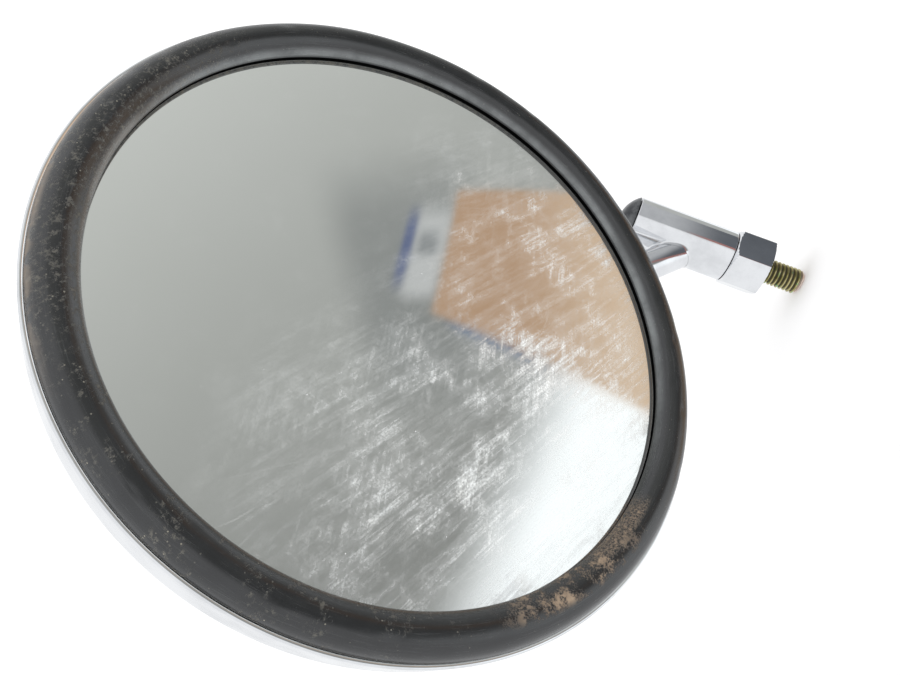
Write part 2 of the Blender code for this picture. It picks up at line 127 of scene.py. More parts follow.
def add_piece(name, points, wrap_rows=False, values=None, crease=40):
    """A closed piece from a grid: doubled points merged, faces outward, sharp past crease."""
    mesh = grid_mesh(name, points, wrap_rows, values or {})
    edit = bmesh.new()
    edit.from_mesh(mesh)
    bmesh.ops.remove_doubles(edit, verts=edit.verts, dist=CLOSE)
    open_rings = [edge for edge in edit.edges if edge.is_boundary]
    if open_rings:
        bmesh.ops.holes_fill(edit, edges=open_rings)
    bmesh.ops.recalc_face_normals(edit, faces=edit.faces)
    edit.to_mesh(mesh)
    edit.free()
    mesh.shade_smooth()
    mesh.set_sharp_from_angle(angle=np.radians(crease))
    piece = bpy.data.objects.new(name, mesh)
    bpy.context.scene.collection.objects.link(piece)
    print(f"{name}: {len(mesh.vertices)} points, {len(mesh.polygons)} faces")
    return piece


# %% [markdown]
# ## Profiles with softened corners
#
# No real part has a perfectly sharp edge, and it is the small rounded edge that catches
# the light. A profile is written down by its few corners; each corner is then replaced by a
# short curve, and long runs are cut into short steps so that later ripples have points to
# move. A Bevel modifier would do this too, but the rounding is wanted before the profile is
# spun, so that each edge can have its own size.

# %% Softened profiles
def soften(corners, rounding, steps=5):
    """Replaces each corner by a curve that leaves both its sides smoothly.

    A point of the curve is (1-t)^2 A + 2 t (1-t) B + t^2 C, with B the corner and A and C
    the points a rounding's length away on its two sides, or under half of a shorter side.
    """
    corners = np.array(corners, float)
    sizes = np.broadcast_to(rounding, len(corners))
    t = np.linspace(0, 1, steps + 1)[:, None]
    line = [corners[:1]]
    for before, corner, after, size in zip(corners, corners[1:], corners[2:], sizes[1:]):
        back, on = before - corner, after - corner
        near = min(size, 0.45 * np.linalg.norm(back), 0.45 * np.linalg.norm(on))
        start = corner + back / np.linalg.norm(back) * near
        end = corner + on / np.linalg.norm(on) * near
        line.append((1 - t) ** 2 * start + 2 * t * (1 - t) * corner + t ** 2 * end)
    line.append(corners[-1:])
    return np.concatenate(line)


def refine(line, step):
    """Cuts each straight run of a profile into pieces no longer than step."""
    lengths = np.linalg.norm(np.diff(line, axis=0), axis=1)
    parts = []
    for start, end, length in zip(line, line[1:], lengths):
        count = max(1, int(np.ceil(length / step)))
        t = np.arange(count)[:, None] / count
        parts.append(start + (end - start) * t)
    parts.append(line[-1:])
    return np.concatenate(parts)


def circle_points(centre, radii, start, end, steps):
    """Points on an ellipse from start to end degrees: centre + (a cos t, b sin t)."""
    t = np.radians(np.linspace(start, end, steps + 1))
    return np.stack([centre[0] + radii[0] * np.cos(t), centre[1] + radii[1] * np.sin(t)], axis=1)


def spin(line, sides):
    """Point (r, h) of a profile at angle a becomes (r cos a, r sin a, h)."""
    angle = 2 * np.pi * np.arange(sides) / sides
    radius, height = line[:, 0][:, None], line[:, 1][:, None]
    flat = np.ones_like(angle)[None, :]
    return np.stack([radius * np.cos(angle), radius * np.sin(angle), height * flat], axis=-1)


def follow(line, sides):
    """(cos a, sin a, distance along the profile in centimetres) at each grid point.

    A pattern that reads this runs round a piece with no seam, however it is stretched.
    """
    angle = 2 * np.pi * np.arange(sides) / sides
    along = np.concatenate([[0], np.cumsum(np.linalg.norm(np.diff(line, axis=0), axis=1))])
    grid = np.ones((len(line), sides))
    return np.stack([grid * np.cos(angle), grid * np.sin(angle), grid * along[:, None] * 100], axis=-1)


def turned(name, line, sides, turn=FOOT, origin=(0, 0, 0), closed=False, crease=40, shift=(0, 0)):
    """A piece spun from a profile in a frame; shift moves its axis sideways."""
    local = spin(line, sides) + np.array([shift[0], shift[1], 0.0])
    values = {"round": follow(line, sides), "local": local * 100}
    return add_piece(name, local @ turn.T + np.array(origin), closed, values, crease)


def head_turned(name, line, sides, **choices):
    return turned(name, line, sides, HEAD, ball_place, **choices)


# %% [markdown]
# ## Node helpers for the finishes
#
# A finish is a small network of nodes. Writing it out node by node hides the idea, so these
# helpers read like sentences: a noise, a ramp over it, a mix of two colours by a mask.

# %% Node helpers
class Network:
    """A node tree with short helpers; each returns the socket that carries its result."""

    def __init__(self, tree):
        self.tree = tree

    def node(self, kind, **settings):
        made = self.tree.nodes.new(kind)
        for key, value in settings.items():
            setattr(made, key, value)
        return made

    def join(self, source, target):
        self.tree.links.new(source, target)

    def put(self, value, socket):
        if isinstance(value, bpy.types.NodeSocket):
            self.join(value, socket)
        elif isinstance(value, tuple) and len(value) == 3 and socket.type == "RGBA":
            socket.default_value = (*value, 1.0)
        else:
            socket.default_value = value

    def place(self, stretch=(1, 1, 1), turn=0.0, of="object"):
        """Object coordinates, or a stored attribute, turned about Z by degrees, then stretched.

        A pattern read from it is that many times longer along each turned axis.
        """
        if of == "object":
            source = self.node("ShaderNodeTexCoord").outputs["Object"]
        else:
            source = self.node("ShaderNodeAttribute", attribute_name=of).outputs["Vector"]
        mapping = self.node("ShaderNodeMapping", vector_type="TEXTURE")
        self.join(source, mapping.inputs["Vector"])
        mapping.inputs["Scale"].default_value = stretch
        mapping.inputs["Rotation"].default_value = (0, 0, np.radians(turn))
        return mapping.outputs["Vector"]

    def number(self, of):
        return self.node("ShaderNodeAttribute", attribute_name=of).outputs["Fac"]

    def noise(self, where, scale, detail=4.0, roughness=0.55, twist=0.0):
        made = self.node("ShaderNodeTexNoise")
        self.join(where, made.inputs["Vector"])
        made.inputs["Scale"].default_value = scale
        made.inputs["Detail"].default_value = detail
        made.inputs["Roughness"].default_value = roughness
        made.inputs["Distortion"].default_value = twist
        return made.outputs["Fac"]

    def cells(self, where, scale, output="Distance"):
        made = self.node("ShaderNodeTexVoronoi")
        self.join(where, made.inputs["Vector"])
        made.inputs["Scale"].default_value = scale
        return made.outputs[output]

    def span(self, value, low, high, first=0.0, last=1.0, smooth=True):
        """value's run from low to high, turned into first to last and held outside it."""
        made = self.node("ShaderNodeMapRange")
        made.interpolation_type = "SMOOTHSTEP" if smooth else "LINEAR"
        self.put(value, made.inputs["Value"])
        for label, amount in (("From Min", low), ("From Max", high), ("To Min", first), ("To Max", last)):
            made.inputs[label].default_value = amount
        return made.outputs["Result"]

    def sum(self, operation, a, b=0.0):
        made = self.node("ShaderNodeMath", operation=operation)
        self.put(a, made.inputs[0])
        self.put(b, made.inputs[1])
        return made.outputs[0]

    def plus(self, a, b):
        return self.sum("ADD", a, b)

    def times(self, *values):
        result = values[0]
        for value in values[1:]:
            result = self.sum("MULTIPLY", result, value)
        return result

    def either(self, a, b):
        return self.sum("MAXIMUM", a, b)

    def mixed(self, mask, a, b):
        made = self.node("ShaderNodeMix", data_type="RGBA")
        self.put(mask, made.inputs[0])
        self.put(a, made.inputs[6])
        self.put(b, made.inputs[7])
        return made.outputs[2]

    def parts(self, where):
        made = self.node("ShaderNodeSeparateXYZ")
        self.join(where, made.inputs[0])
        return made.outputs


class Finish(Network):
    """A material whose Principled shader is fed by the helpers."""

    def __init__(self, name):
        self.material = bpy.data.materials.new(name)
        self.material.use_nodes = True
        super().__init__(self.material.node_tree)
        self.shader = self.tree.nodes["Principled BSDF"]

    def bumps(self, height, depth, strength=1.0):
        made = self.node("ShaderNodeBump")
        made.inputs["Strength"].default_value = strength
        made.inputs["Distance"].default_value = depth
        self.put(height, made.inputs["Height"])
        self.join(made.outputs["Normal"], self.shader.inputs["Normal"])

    def set(self, **sockets):
        """Sets or links the shader's sockets: base_color=..., roughness=..., and so on."""
        labels = {"base_color": "Base Color", "ior": "IOR", "coat": "Coat Weight",
                  "coat_roughness": "Coat Roughness", "specular": "Specular IOR Level"}
        for key, value in sockets.items():
            self.put(value, self.shader.inputs[labels.get(key, key.capitalize())])
        return self.material


def dress(piece, material):
    piece.data.materials.clear()
    piece.data.materials.append(material)


def hand_over(piece, body, node, material):
    """Rides a body, stands in for a node of the frame, and takes a look."""
    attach(piece, body)
    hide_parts(node)
    dress(piece, material)


# %% [markdown]
# ## Chrome plate that has been outside
#
# Chrome is a nearly colourless mirror metal. New, it would be only a base colour and a low
# roughness. After years on a vehicle it has hair scratches, a faint bloom that scatters
# light, and pin-holes where rust comes through. Each of these is a mask: the bloom raises
# the roughness, the pin-holes turn the metal into brown oxide. Painting them by hand would
# look as good, but a rule can be used on every chromed piece.

# %% Chrome
def chrome_finish(name, rust, bloom):
    """Bright plate; rust is the share of pin-holes, bloom how cloudy it is."""
    look = Finish(name)
    where = look.place()
    cloud = look.noise(where, 90, 5, 0.6)
    fine = look.noise(look.place((1, 1, 6)), 1400, 3)
    pits = look.cells(where, 900)
    patches = look.span(look.noise(where, 60, 3), 0.62 - 0.14 * rust, 0.74)
    holes = look.times(look.span(pits, 0.10 + 0.22 * rust, 0.05), patches)
    stain = look.times(look.span(pits, 0.5, 0.1), patches, 0.35)
    oxide = look.either(holes, stain)
    plate = look.mixed(look.span(cloud, 0.35, 0.7), (0.82, 0.83, 0.85), (0.70, 0.71, 0.73))
    brown = look.mixed(look.noise(where, 2500, 2), (0.16, 0.075, 0.035), (0.33, 0.19, 0.11))
    rough = look.plus(look.span(cloud, 0.3, 0.75, 0.05, 0.09 + bloom), look.times(oxide, 0.5))
    look.bumps(look.sum("SUBTRACT", look.times(fine, 0.25), oxide), 0.00002, 0.5)
    return look.set(base_color=look.mixed(oxide, plate, brown), roughness=rough,
                    metallic=look.span(oxide, 0.0, 1.0, 1.0, 0.15))


chrome_clean = chrome_finish("chrome_stem", 0.05, 0.05)
chrome_worn = chrome_finish("chrome_shell", 0.75, 0.16)
print("chrome finishes", chrome_clean.name, chrome_worn.name)


# %% [markdown]
# ## Plain steels, bronze, fibre, nylon and card
#
# The pieces inside the socket and the boss are seldom seen, but they show through the
# openings and at the edges, so each gets the finish of its own trade: turning rings on
# steel, a matt grain on sintered bronze, fibres in the red washer, flow marks in nylon.

# %% Hidden finishes
def steel_finish(name, dark, light, roughness):
    """Machined steel: fine turning rings along each piece's own axis and small stains."""
    look = Finish(name)
    where = look.place()
    rings = look.noise(look.place((5, 5, 1)), 3500, 2)
    stains = look.noise(where, 260, 5, 0.6)
    look.bumps(rings, 0.00002, 0.35)
    return look.set(base_color=look.mixed(look.span(stains, 0.35, 0.7), dark, light),
                    roughness=look.span(stains, 0.3, 0.75, roughness, roughness + 0.2), metallic=1.0)


def matt_finish(name, dark, light, scale, roughness, stretch=(1, 1, 1), metallic=0.0):
    """Grained matt stuff: two tones over a noise, stretched where it has a direction."""
    look = Finish(name)
    grain = look.noise(look.place(stretch), scale, 6, 0.65)
    look.bumps(grain, 0.00005, 0.5)
    return look.set(base_color=look.mixed(look.span(grain, 0.35, 0.65), dark, light),
                    roughness=look.span(grain, 0.3, 0.7, roughness, roughness - 0.15),
                    metallic=metallic)


steel = steel_finish("zinc_steel", (0.36, 0.37, 0.38), (0.60, 0.61, 0.62), 0.28)
dark_steel = steel_finish("dark_plate", (0.055, 0.057, 0.062), (0.16, 0.165, 0.17), 0.2)
bronze = matt_finish("sintered_bronze", (0.35, 0.20, 0.09), (0.62, 0.40, 0.20), 2400, 0.5, metallic=0.9)
fibre = matt_finish("red_fibre", (0.16, 0.045, 0.03), (0.34, 0.12, 0.07), 900, 0.9, stretch=(1, 5, 1))
nylon = matt_finish("natural_nylon", (0.70, 0.67, 0.58), (0.84, 0.82, 0.75), 700, 0.5)
card = matt_finish("fibre_card", (0.20, 0.14, 0.085), (0.40, 0.31, 0.21), 1500, 0.95, stretch=(1, 2.5, 1))
print("hidden finishes ready")


# %% [markdown]
# ## Yellow zinc on the stud
#
# Zinc plate is dipped in a chromate bath that leaves a thin film with olive, yellow and
# faint green and pink patches. It wears off the crests of a thread first and stays dark
# with grease in the roots. The thread stores how high each point stands, so one ramp can
# paint root, flank and crest. The turned tip is bare metal with a pinkish tarnish.

# %% Yellow zinc
def stud_finish(tip_height):
    look = Finish("yellow_zinc")
    where = look.place()
    crest = look.number("crest")
    height = look.parts(where)[2]
    patches = look.noise(where, 420, 3)
    film = look.mixed(look.span(patches, 0.35, 0.65), (0.33, 0.30, 0.12), (0.56, 0.50, 0.27))
    green = look.span(look.noise(where, 300, 2, twist=1.0), 0.60, 0.72)
    film = look.mixed(green, film, (0.25, 0.52, 0.24))
    root = look.mixed(look.noise(where, 1500), (0.035, 0.033, 0.022), (0.11, 0.095, 0.05))
    colour = look.mixed(look.span(crest, 0.05, 0.65), root, film)
    tip = look.span(height, tip_height + 0.0012, tip_height + 0.0006)
    bare = look.mixed(look.noise(where, 900), (0.52, 0.38, 0.31), (0.74, 0.62, 0.55))
    look.bumps(look.noise(where, 2600, 4), 0.00003, 0.5)
    return look.set(base_color=look.mixed(tip, colour, bare),
                    metallic=look.span(crest, 0, 0.5, 0.35, 0.95),
                    roughness=look.span(crest, 0.1, 0.9, 0.6, 0.3))


yellow_zinc = stud_finish(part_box("threaded_stud")[0].z)

# %% [markdown]
# ## The foot: a hexagon turned with a chamfer
#
# The foot is cut from hexagonal bar. The lathe's chamfer tool sweeps a cone over it, which
# leaves the curved scallops at the top of each flat. One could intersect a prism with a
# cone, but the same shape has a plain formula: at each angle the radius is the smaller of
# the lathe profile's and the hexagon's. The hexagon's radius is half its flats over the
# largest of six cosines. Adding the cosines' sixtieth powers and taking the sixtieth root
# is a soft maximum, and that is what rounds the six long edges a little.

# %% Foot
HEX_FLATS = 0.017
HEX_TOP = 0.0117
HEX_TURN = np.radians(46.7)
STUD_HOLE = (0.0043, 0.0093)
SPIGOT = (0.0045, 0.027)
PIVOT = (0.003, 0.039)
EDGE_SHARPNESS = 60


def hexagon(angle, flats, turn):
    """Radius of a hexagon with softened corners, one of them at the turn angle."""
    faces = turn + np.radians(30 + 60 * np.arange(6))
    cosines = np.clip(np.cos(angle[:, None] - faces[None, :]), 0, None)
    return flats / 2 / (cosines ** EDGE_SHARPNESS).sum(axis=1) ** (1 / EDGE_SHARPNESS)


def build_foot():
    corner = HEX_FLATS / np.sqrt(3) + 0.0004
    face = HEX_FLATS / 2 - 0.0003
    drop = (corner - face) * np.tan(np.radians(30))
    line = soften([(0, STUD_HOLE[1]), (STUD_HOLE[0], STUD_HOLE[1]), (STUD_HOLE[0], 0.0003),
                   (STUD_HOLE[0] + 0.0003, 0), (face, 0), (corner, 0.5 * drop), (corner, HEX_TOP - drop),
                   (face, HEX_TOP), (SPIGOT[0], HEX_TOP), (SPIGOT[0], SPIGOT[1]),
                   (PIVOT[0], SPIGOT[1]), (PIVOT[0], PIVOT[1] - 0.0004), (PIVOT[0] - 0.0004, PIVOT[1]),
                   (0, PIVOT[1])], 0.00012)
    line = refine(line, 0.0006)
    sides = 288
    points = spin(line, sides)
    angle = 2 * np.pi * np.arange(sides) / sides
    limit = hexagon(angle, HEX_FLATS, HEX_TURN)[None, :]
    radius = np.maximum(line[:, 0], 1e-9)[:, None]
    points[..., :2] *= (np.minimum(radius, limit) / radius)[..., None]
    piece = add_piece("foot_hexagon", points, crease=25)
    hand_over(piece, "base", "hex_base", chrome_clean)


build_foot()

# %% [markdown]
# ## The stud: a real helix
#
# A metric thread is a 60 degree groove that climbs one pitch in each turn. Rings would look
# right from far away and wrong at the tip. With z the height and a the angle, the thread's
# phase is the fractional part of z / pitch - a / 360 degrees; the radius falls in a straight
# line either side of the crest, with the crest and the root cut flat. The chamfered tip is
# one more limit on the radius, a 45 degree cone.

# %% Stud
STUD_MAJOR = 0.004
THREAD_PITCH = 0.00125
THREAD_DEPTH = 0.00072
STUD_CHAMFER = 0.001


def build_stud():
    low, high = (corner.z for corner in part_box("threaded_stud"))
    sides = 120
    heights = np.linspace(low, high, int((high - low) / 0.00007))[:, None]
    angle = (2 * np.pi * np.arange(sides) / sides)[None, :]
    phase = (heights / THREAD_PITCH - angle / (2 * np.pi)) % 1.0
    slope = np.abs(2 * phase - 1)
    crest = np.clip((slope - 0.18) / 0.64, 0, 1)
    crest = crest * crest * (3 - 2 * crest) * 0.35 + crest * 0.65
    cone = STUD_MAJOR - STUD_CHAMFER + (heights - low)
    radius = np.minimum(STUD_MAJOR - THREAD_DEPTH * (1 - crest), cone)
    points = np.stack([radius * np.cos(angle), radius * np.sin(angle), heights + 0 * angle], axis=-1)
    piece = add_piece("stud_thread", points, values={"crest": crest * np.ones_like(radius)}, crease=55)
    hand_over(piece, "base", "threaded_stud", yellow_zinc)


build_stud()

# %% [markdown]
# ## Boss and cap
#
# The boss is a plain barrel turned from bar, plated all over, with a hair of a radius at its
# ends and a thin skirt that hides the washer under it. The cap is a shallow dome pressed into
# its top. Both are one profile spun about the upright axis. The dome is an arc whose radius
# follows from its width and its rise.

# %% Boss and cap
BOSS_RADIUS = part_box("swivel_boss")[1].x
boss_low, boss_high = (corner.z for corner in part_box("swivel_boss"))
BUSH_BORE = 0.0061
STACK_BORE = 0.0072


def build_boss():
    skirt = HEX_TOP + 0.0001
    line = soften([(BUSH_BORE, SPIGOT[1]), (BUSH_BORE, boss_low), (BOSS_RADIUS - 0.0003, boss_low),
                   (BOSS_RADIUS - 0.0003, skirt), (BOSS_RADIUS, skirt + 0.0003),
                   (BOSS_RADIUS, boss_high - 0.0002),
                   (BOSS_RADIUS - 0.0002, boss_high), (STACK_BORE, boss_high),
                   (STACK_BORE, SPIGOT[1]), (BUSH_BORE, SPIGOT[1])], 0.0002)
    piece = turned("boss_barrel", refine(line, 0.001)[:-1], 192, closed=True, crease=50)
    hand_over(piece, "arm", "swivel_boss", chrome_clean)


def build_cap():
    low, high = (corner.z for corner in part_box("end_cap"))
    seat = boss_high + 0.0003
    rise = high - seat
    dome = (BOSS_RADIUS ** 2 + rise ** 2) / (2 * rise)
    half = np.degrees(np.arcsin((BOSS_RADIUS - 0.0002) / dome))
    outer = circle_points((0, high - dome), (dome, dome), 90 - half, 90, 24)
    plug = STACK_BORE - 0.0003
    hollow = plug - 0.0012
    inner_half = np.degrees(np.arcsin(hollow / (dome - 0.0012)))
    inner = circle_points((0, high - dome), (dome - 0.0012, dome - 0.0012), 90, 90 - inner_half, 10)
    skirt = soften([inner[-1], (hollow, low), (plug, low), (plug, seat),
                    (BOSS_RADIUS - 0.0001, seat), outer[0]], 0.0002)
    piece = turned("boss_cap", np.concatenate([inner, skirt[1:-1], outer]), 128, crease=50)
    hand_over(piece, "arm", "end_cap", dark_steel)


build_boss()
build_cap()

# %% [markdown]
# ## The bent stem
#
# The stem is a 10 mm bar, bent once and brazed to the side of the boss. A curve object with
# a bevel would carry a circle along the path, but its end would be flat, and here the end
# has to hug a barrel. So the bar is a surface: s runs along the path, f runs round it. Each
# line along the bar starts where it meets the barrel, which is the root of a quadratic: the
# point start + offset + t * run is at the barrel's radius from the upright axis.

# %% Stem path
ROD_RADIUS = 0.005
ROD_START = np.array([0.0, 0.0, 0.022])
ROD_CORNER = np.array([-0.0964, 0.0152, 0.1065])
BEND_RADIUS = 0.013
ROD_END = 0.0125
PLATE_ALLOWANCE = 0.00004

run = (ROD_CORNER - ROD_START) / np.linalg.norm(ROD_CORNER - ROD_START)
turn_angle = np.arccos(run @ head_axis)
bend_reach = BEND_RADIUS * np.tan(turn_angle / 2)
inward = head_axis - run * (run @ head_axis)
inward /= np.linalg.norm(inward)
side = np.cross(run, inward)
straight = np.linalg.norm(ROD_CORNER - ROD_START) - bend_reach
bend_length = BEND_RADIUS * turn_angle
rod_last = ball_place - ROD_END * head_axis
tail = np.linalg.norm(rod_last - (ROD_CORNER + bend_reach * head_axis))
print(f"bend of {np.degrees(turn_angle):.1f} degrees, stem {straight + bend_length + tail:.4f} m long")


def stem_surface(distance, around, radius):
    """Point of the bar: path(s) + radius * (cos f * inward normal + sin f * side).

    The path is straight, then an arc about a centre on its inner side, then straight.
    """
    angle = np.clip((distance - straight) / BEND_RADIUS, 0, turn_angle)
    before = np.minimum(distance, straight)
    after = np.maximum(distance - straight - bend_length, 0)
    sine, cosine = np.sin(angle)[..., None], np.cos(angle)[..., None]
    tangent = run * cosine + inward * sine
    normal = inward * cosine - run * sine
    middle = (ROD_START + run * before[..., None] + BEND_RADIUS * (run * sine + inward * (1 - cosine))
              + tangent * after[..., None])
    spoke = normal * np.cos(around)[..., None] + side * np.sin(around)[..., None]
    return middle + radius * spoke


def barrel_meeting(around, radius, barrel):
    """Distance along the straight run at which a line of the bar meets the barrel.

    With p the line's offset and v the run, both seen from above, it is the larger root of
    |p + t v|^2 = barrel^2.
    """
    offset = stem_surface(np.zeros_like(around), around, radius)[:, :2]
    flat = run[:2]
    a, b, c = flat @ flat, offset @ flat, (offset ** 2).sum(axis=1) - barrel ** 2
    return (-b + np.sqrt(b * b - a * c)) / a


# %% Stem and its braze
def build_stem():
    sides = 120
    around = 2 * np.pi * np.arange(sides) / sides
    start = barrel_meeting(around, ROD_RADIUS, BOSS_RADIUS - 0.0004)
    plain = start.max() + 0.004
    first = np.linspace(0, 1, 14)[:-1, None]
    near = start[None, :] * (1 - first) + plain * first
    total = straight + bend_length + tail
    far = np.linspace(plain, total, 150)[:, None] * np.ones(sides)
    distance = np.concatenate([near, far])
    ring = np.broadcast_to(around, distance.shape)
    points = stem_surface(distance, ring, ROD_RADIUS - PLATE_ALLOWANCE)
    piece = add_piece("stem_bar", points, crease=50)
    hand_over(piece, "arm", "stem_rod", chrome_clean)


FILLET_ON_ROD = 0.0016
FILLET_ON_BOSS = 0.0011


def build_braze():
    """A hollow curve from the bar to the barrel, (1-t)^2 A + 2t(1-t) B + t^2 C, closed inside."""
    sides = 120
    around = 2 * np.pi * np.arange(sides) / sides
    corner_at = barrel_meeting(around, ROD_RADIUS, BOSS_RADIUS)
    corner = stem_surface(corner_at, around, ROD_RADIUS)
    on_rod = stem_surface(corner_at + FILLET_ON_ROD, around, ROD_RADIUS)
    wide = ROD_RADIUS + FILLET_ON_BOSS
    on_boss = stem_surface(barrel_meeting(around, wide, BOSS_RADIUS), around, wide)
    sunk = stem_surface(barrel_meeting(around, ROD_RADIUS - 0.0004, BOSS_RADIUS - 0.0004),
                        around, ROD_RADIUS - 0.0004)
    t = np.linspace(0, 1, 9)[:, None, None]
    curve = (1 - t) ** 2 * on_rod + 2 * t * (1 - t) * corner + t ** 2 * on_boss
    points = np.concatenate([curve, sunk[None]])
    piece = add_piece("braze_ring", points, wrap_rows=True, crease=60)
    hand_over(piece, "arm", "braze_fillet", chrome_clean)


build_stem()
build_braze()

# %% [markdown]
# ## Ball stud, socket and its fasteners
#
# Behind the glass the stem ends in a ball, held in a socket that is riveted to the shell.
# These are lathe work and pressings again, so they are profiles in the head's frame. The
# screws get a slot, cut by lowering the dome wherever a point is near the slot's line.

# %% Ball stud and socket
BALL_RADIUS = 0.007
NECK_RADIUS = 0.0038
SOCKET_RADIUS = 0.0107
SOCKET_HALF_OPENING = 52
SOCKET_BODY, SOCKET_BORE = 0.015, 0.0125
FLANGE_THICKNESS = 0.002
socket_wide, socket_low, socket_high = reach("socket_housing", HEAD, ball_place)


def build_ball():
    contact = np.degrees(np.arcsin(NECK_RADIUS / BALL_RADIUS)) - 90
    ball = circle_points((0, 0), (BALL_RADIUS, BALL_RADIUS), 90, contact, 40)
    shoulder = -ROD_END + 0.0003
    neck = soften([ball[-1], (NECK_RADIUS, shoulder + 0.0014), (ROD_RADIUS, shoulder + 0.0014),
                   (ROD_RADIUS, shoulder), (0, shoulder)], 0.0005)
    piece = head_turned("ball_turning", np.concatenate([ball, neck[1:]]), 96, crease=50)
    hand_over(piece, "arm", "ball_stud", steel)


def build_socket():
    opening = np.radians(SOCKET_HALF_OPENING)
    flange_low = socket_high - FLANGE_THICKNESS
    inner = circle_points((0, 0), (SOCKET_RADIUS, SOCKET_RADIUS), 0, SOCKET_HALF_OPENING - 90, 14)
    mouth = (-socket_low * np.tan(opening), socket_low)
    body = soften([inner[-1], mouth, (SOCKET_BODY - 0.0007, socket_low), (SOCKET_BODY, socket_low + 0.0007),
                   (SOCKET_BODY, flange_low), (socket_wide, flange_low), (socket_wide, socket_high),
                   (SOCKET_BORE, socket_high), (SOCKET_BORE, 0.0), inner[0]], 0.0005)
    line = np.concatenate([inner, body[1:-1]])
    piece = head_turned("socket_turning", refine(line, 0.001), 144, closed=True, crease=50)
    hand_over(piece, "head", "socket_housing", chrome_worn)


build_ball()
build_socket()

# %% Screws and rivets
SHELL_FLOOR = 0.002
SHEET_WALL = 0.0009
HEAD_TOP = SHELL_FLOOR - 0.0003
SCREW_CIRCLE, SCREW_FIRST = 0.0185, 90
RIVET_CIRCLE, RIVET_FIRST = 0.0205, 30
SCREW_HEAD, SCREW_SHANK = 0.0031, 0.0015
RIVET_HEAD, RIVET_TAIL, RIVET_SHANK = 0.0031, 0.0028, 0.0018
FLANGE_GAP = 0.0003
SLOT_HALF = 0.0003
SLOT_DEPTH = 0.0007


def build_screw(number, angle):
    """A pan-headed screw whose slot lowers every head point within half a slot's width."""
    end = reach("clamp_screw_1", HEAD, ball_place)[2]
    dome = circle_points((0, HEAD_TOP - 0.0004), (SCREW_HEAD, 0.0017), -90, -8, 22)
    shank = soften([dome[-1], (SCREW_HEAD, HEAD_TOP), (SCREW_SHANK, HEAD_TOP), (SCREW_SHANK, end - 0.0004),
                    (SCREW_SHANK - 0.0004, end), (0, end)], 0.0002)
    line = refine(np.concatenate([dome, shank[1:]]), 0.00025)
    points = spin(line, 96)
    in_slot = np.clip((SLOT_HALF - np.abs(points[..., 0])) / 0.00008, 0, 1)
    on_head = points[..., 2] < HEAD_TOP - 0.0005
    floor = HEAD_TOP - 0.0021 + SLOT_DEPTH
    deeper = np.maximum(points[..., 2], floor)
    points[..., 2] += np.where(on_head, (deeper - points[..., 2]) * in_slot, 0)
    turn = np.array([[np.cos(angle), -np.sin(angle), 0], [np.sin(angle), np.cos(angle), 0], [0, 0, 1]])
    centre = np.radians(SCREW_FIRST + 120 * number)
    shift = SCREW_CIRCLE * np.array([np.cos(centre), np.sin(centre), 0])
    placed = (points @ turn.T + shift) @ HEAD.T + ball_place
    piece = add_piece(f"screw_turning_{number + 1}", placed, crease=35)
    hand_over(piece, "head", f"clamp_screw_{number + 1}", steel)


def build_rivet(number):
    """Two low domes on one shank."""
    inside = reach("rivet_1", HEAD, ball_place)[2]
    outer = circle_points((0, HEAD_TOP), (RIVET_HEAD, 0.0014), -90, -4, 16)
    seat = SHELL_FLOOR + SHEET_WALL + FLANGE_THICKNESS + 2 * FLANGE_GAP
    inner = circle_points((0, seat), (RIVET_TAIL, inside - seat), 4, 90, 12)
    shank = [(RIVET_HEAD, HEAD_TOP), (RIVET_SHANK, HEAD_TOP), (RIVET_SHANK, seat), (RIVET_TAIL, seat)]
    line = np.concatenate([outer, shank, inner])
    centre = np.radians(RIVET_FIRST + 120 * number)
    shift = (RIVET_CIRCLE * np.cos(centre), RIVET_CIRCLE * np.sin(centre))
    piece = head_turned(f"rivet_turning_{number + 1}", line, 48, shift=shift)
    hand_over(piece, "head", f"rivet_{number + 1}", steel)


for number, slot_angle in enumerate((0.3, 1.7, 2.6)):
    build_screw(number, slot_angle)
    build_rivet(number)

# %% [markdown]
# ## The shell
#
# The shell is pressed from thin sheet: a flat floor for the socket, a bowl, a short upright
# wall and a rolled rim that grips the rubber. A pressing has a wall of constant thickness,
# which Solidify could give, but the outline is known on both sides, so it is drawn once as a
# closed profile. A shallow pressed ring stiffens the floor of the real one, and a ripple of
# a few hundredths of a millimetre keeps its reflections from being machine perfect. It is a
# hair slimmer than the engineering shell, so that the rubber fills its mouth with no gap.

# %% Shell
SHELL_RADIUS = shell_reach[0] - 0.0004
SHELL_WALL = 0.0008
SHELL_SIDE = 0.0225
SHELL_RIM = shell_reach[2]
FLOOR_RADIUS = 0.026
SOCKET_OUTSIDE = 0.0153
RING_RADIUS, RING_WIDTH, RING_HEIGHT = 0.034, 0.0022, 0.0005


def bowl(inset, steps):
    """A quarter ellipse from the floor's edge to the side wall, moved in by inset."""
    angle = np.linspace(0, np.pi / 2, steps + 1)
    wide, tall = SHELL_RADIUS - FLOOR_RADIUS - inset, SHELL_SIDE - SHELL_FLOOR - inset
    return np.stack([FLOOR_RADIUS + wide * np.sin(angle), SHELL_SIDE - tall * np.cos(angle)], axis=1)


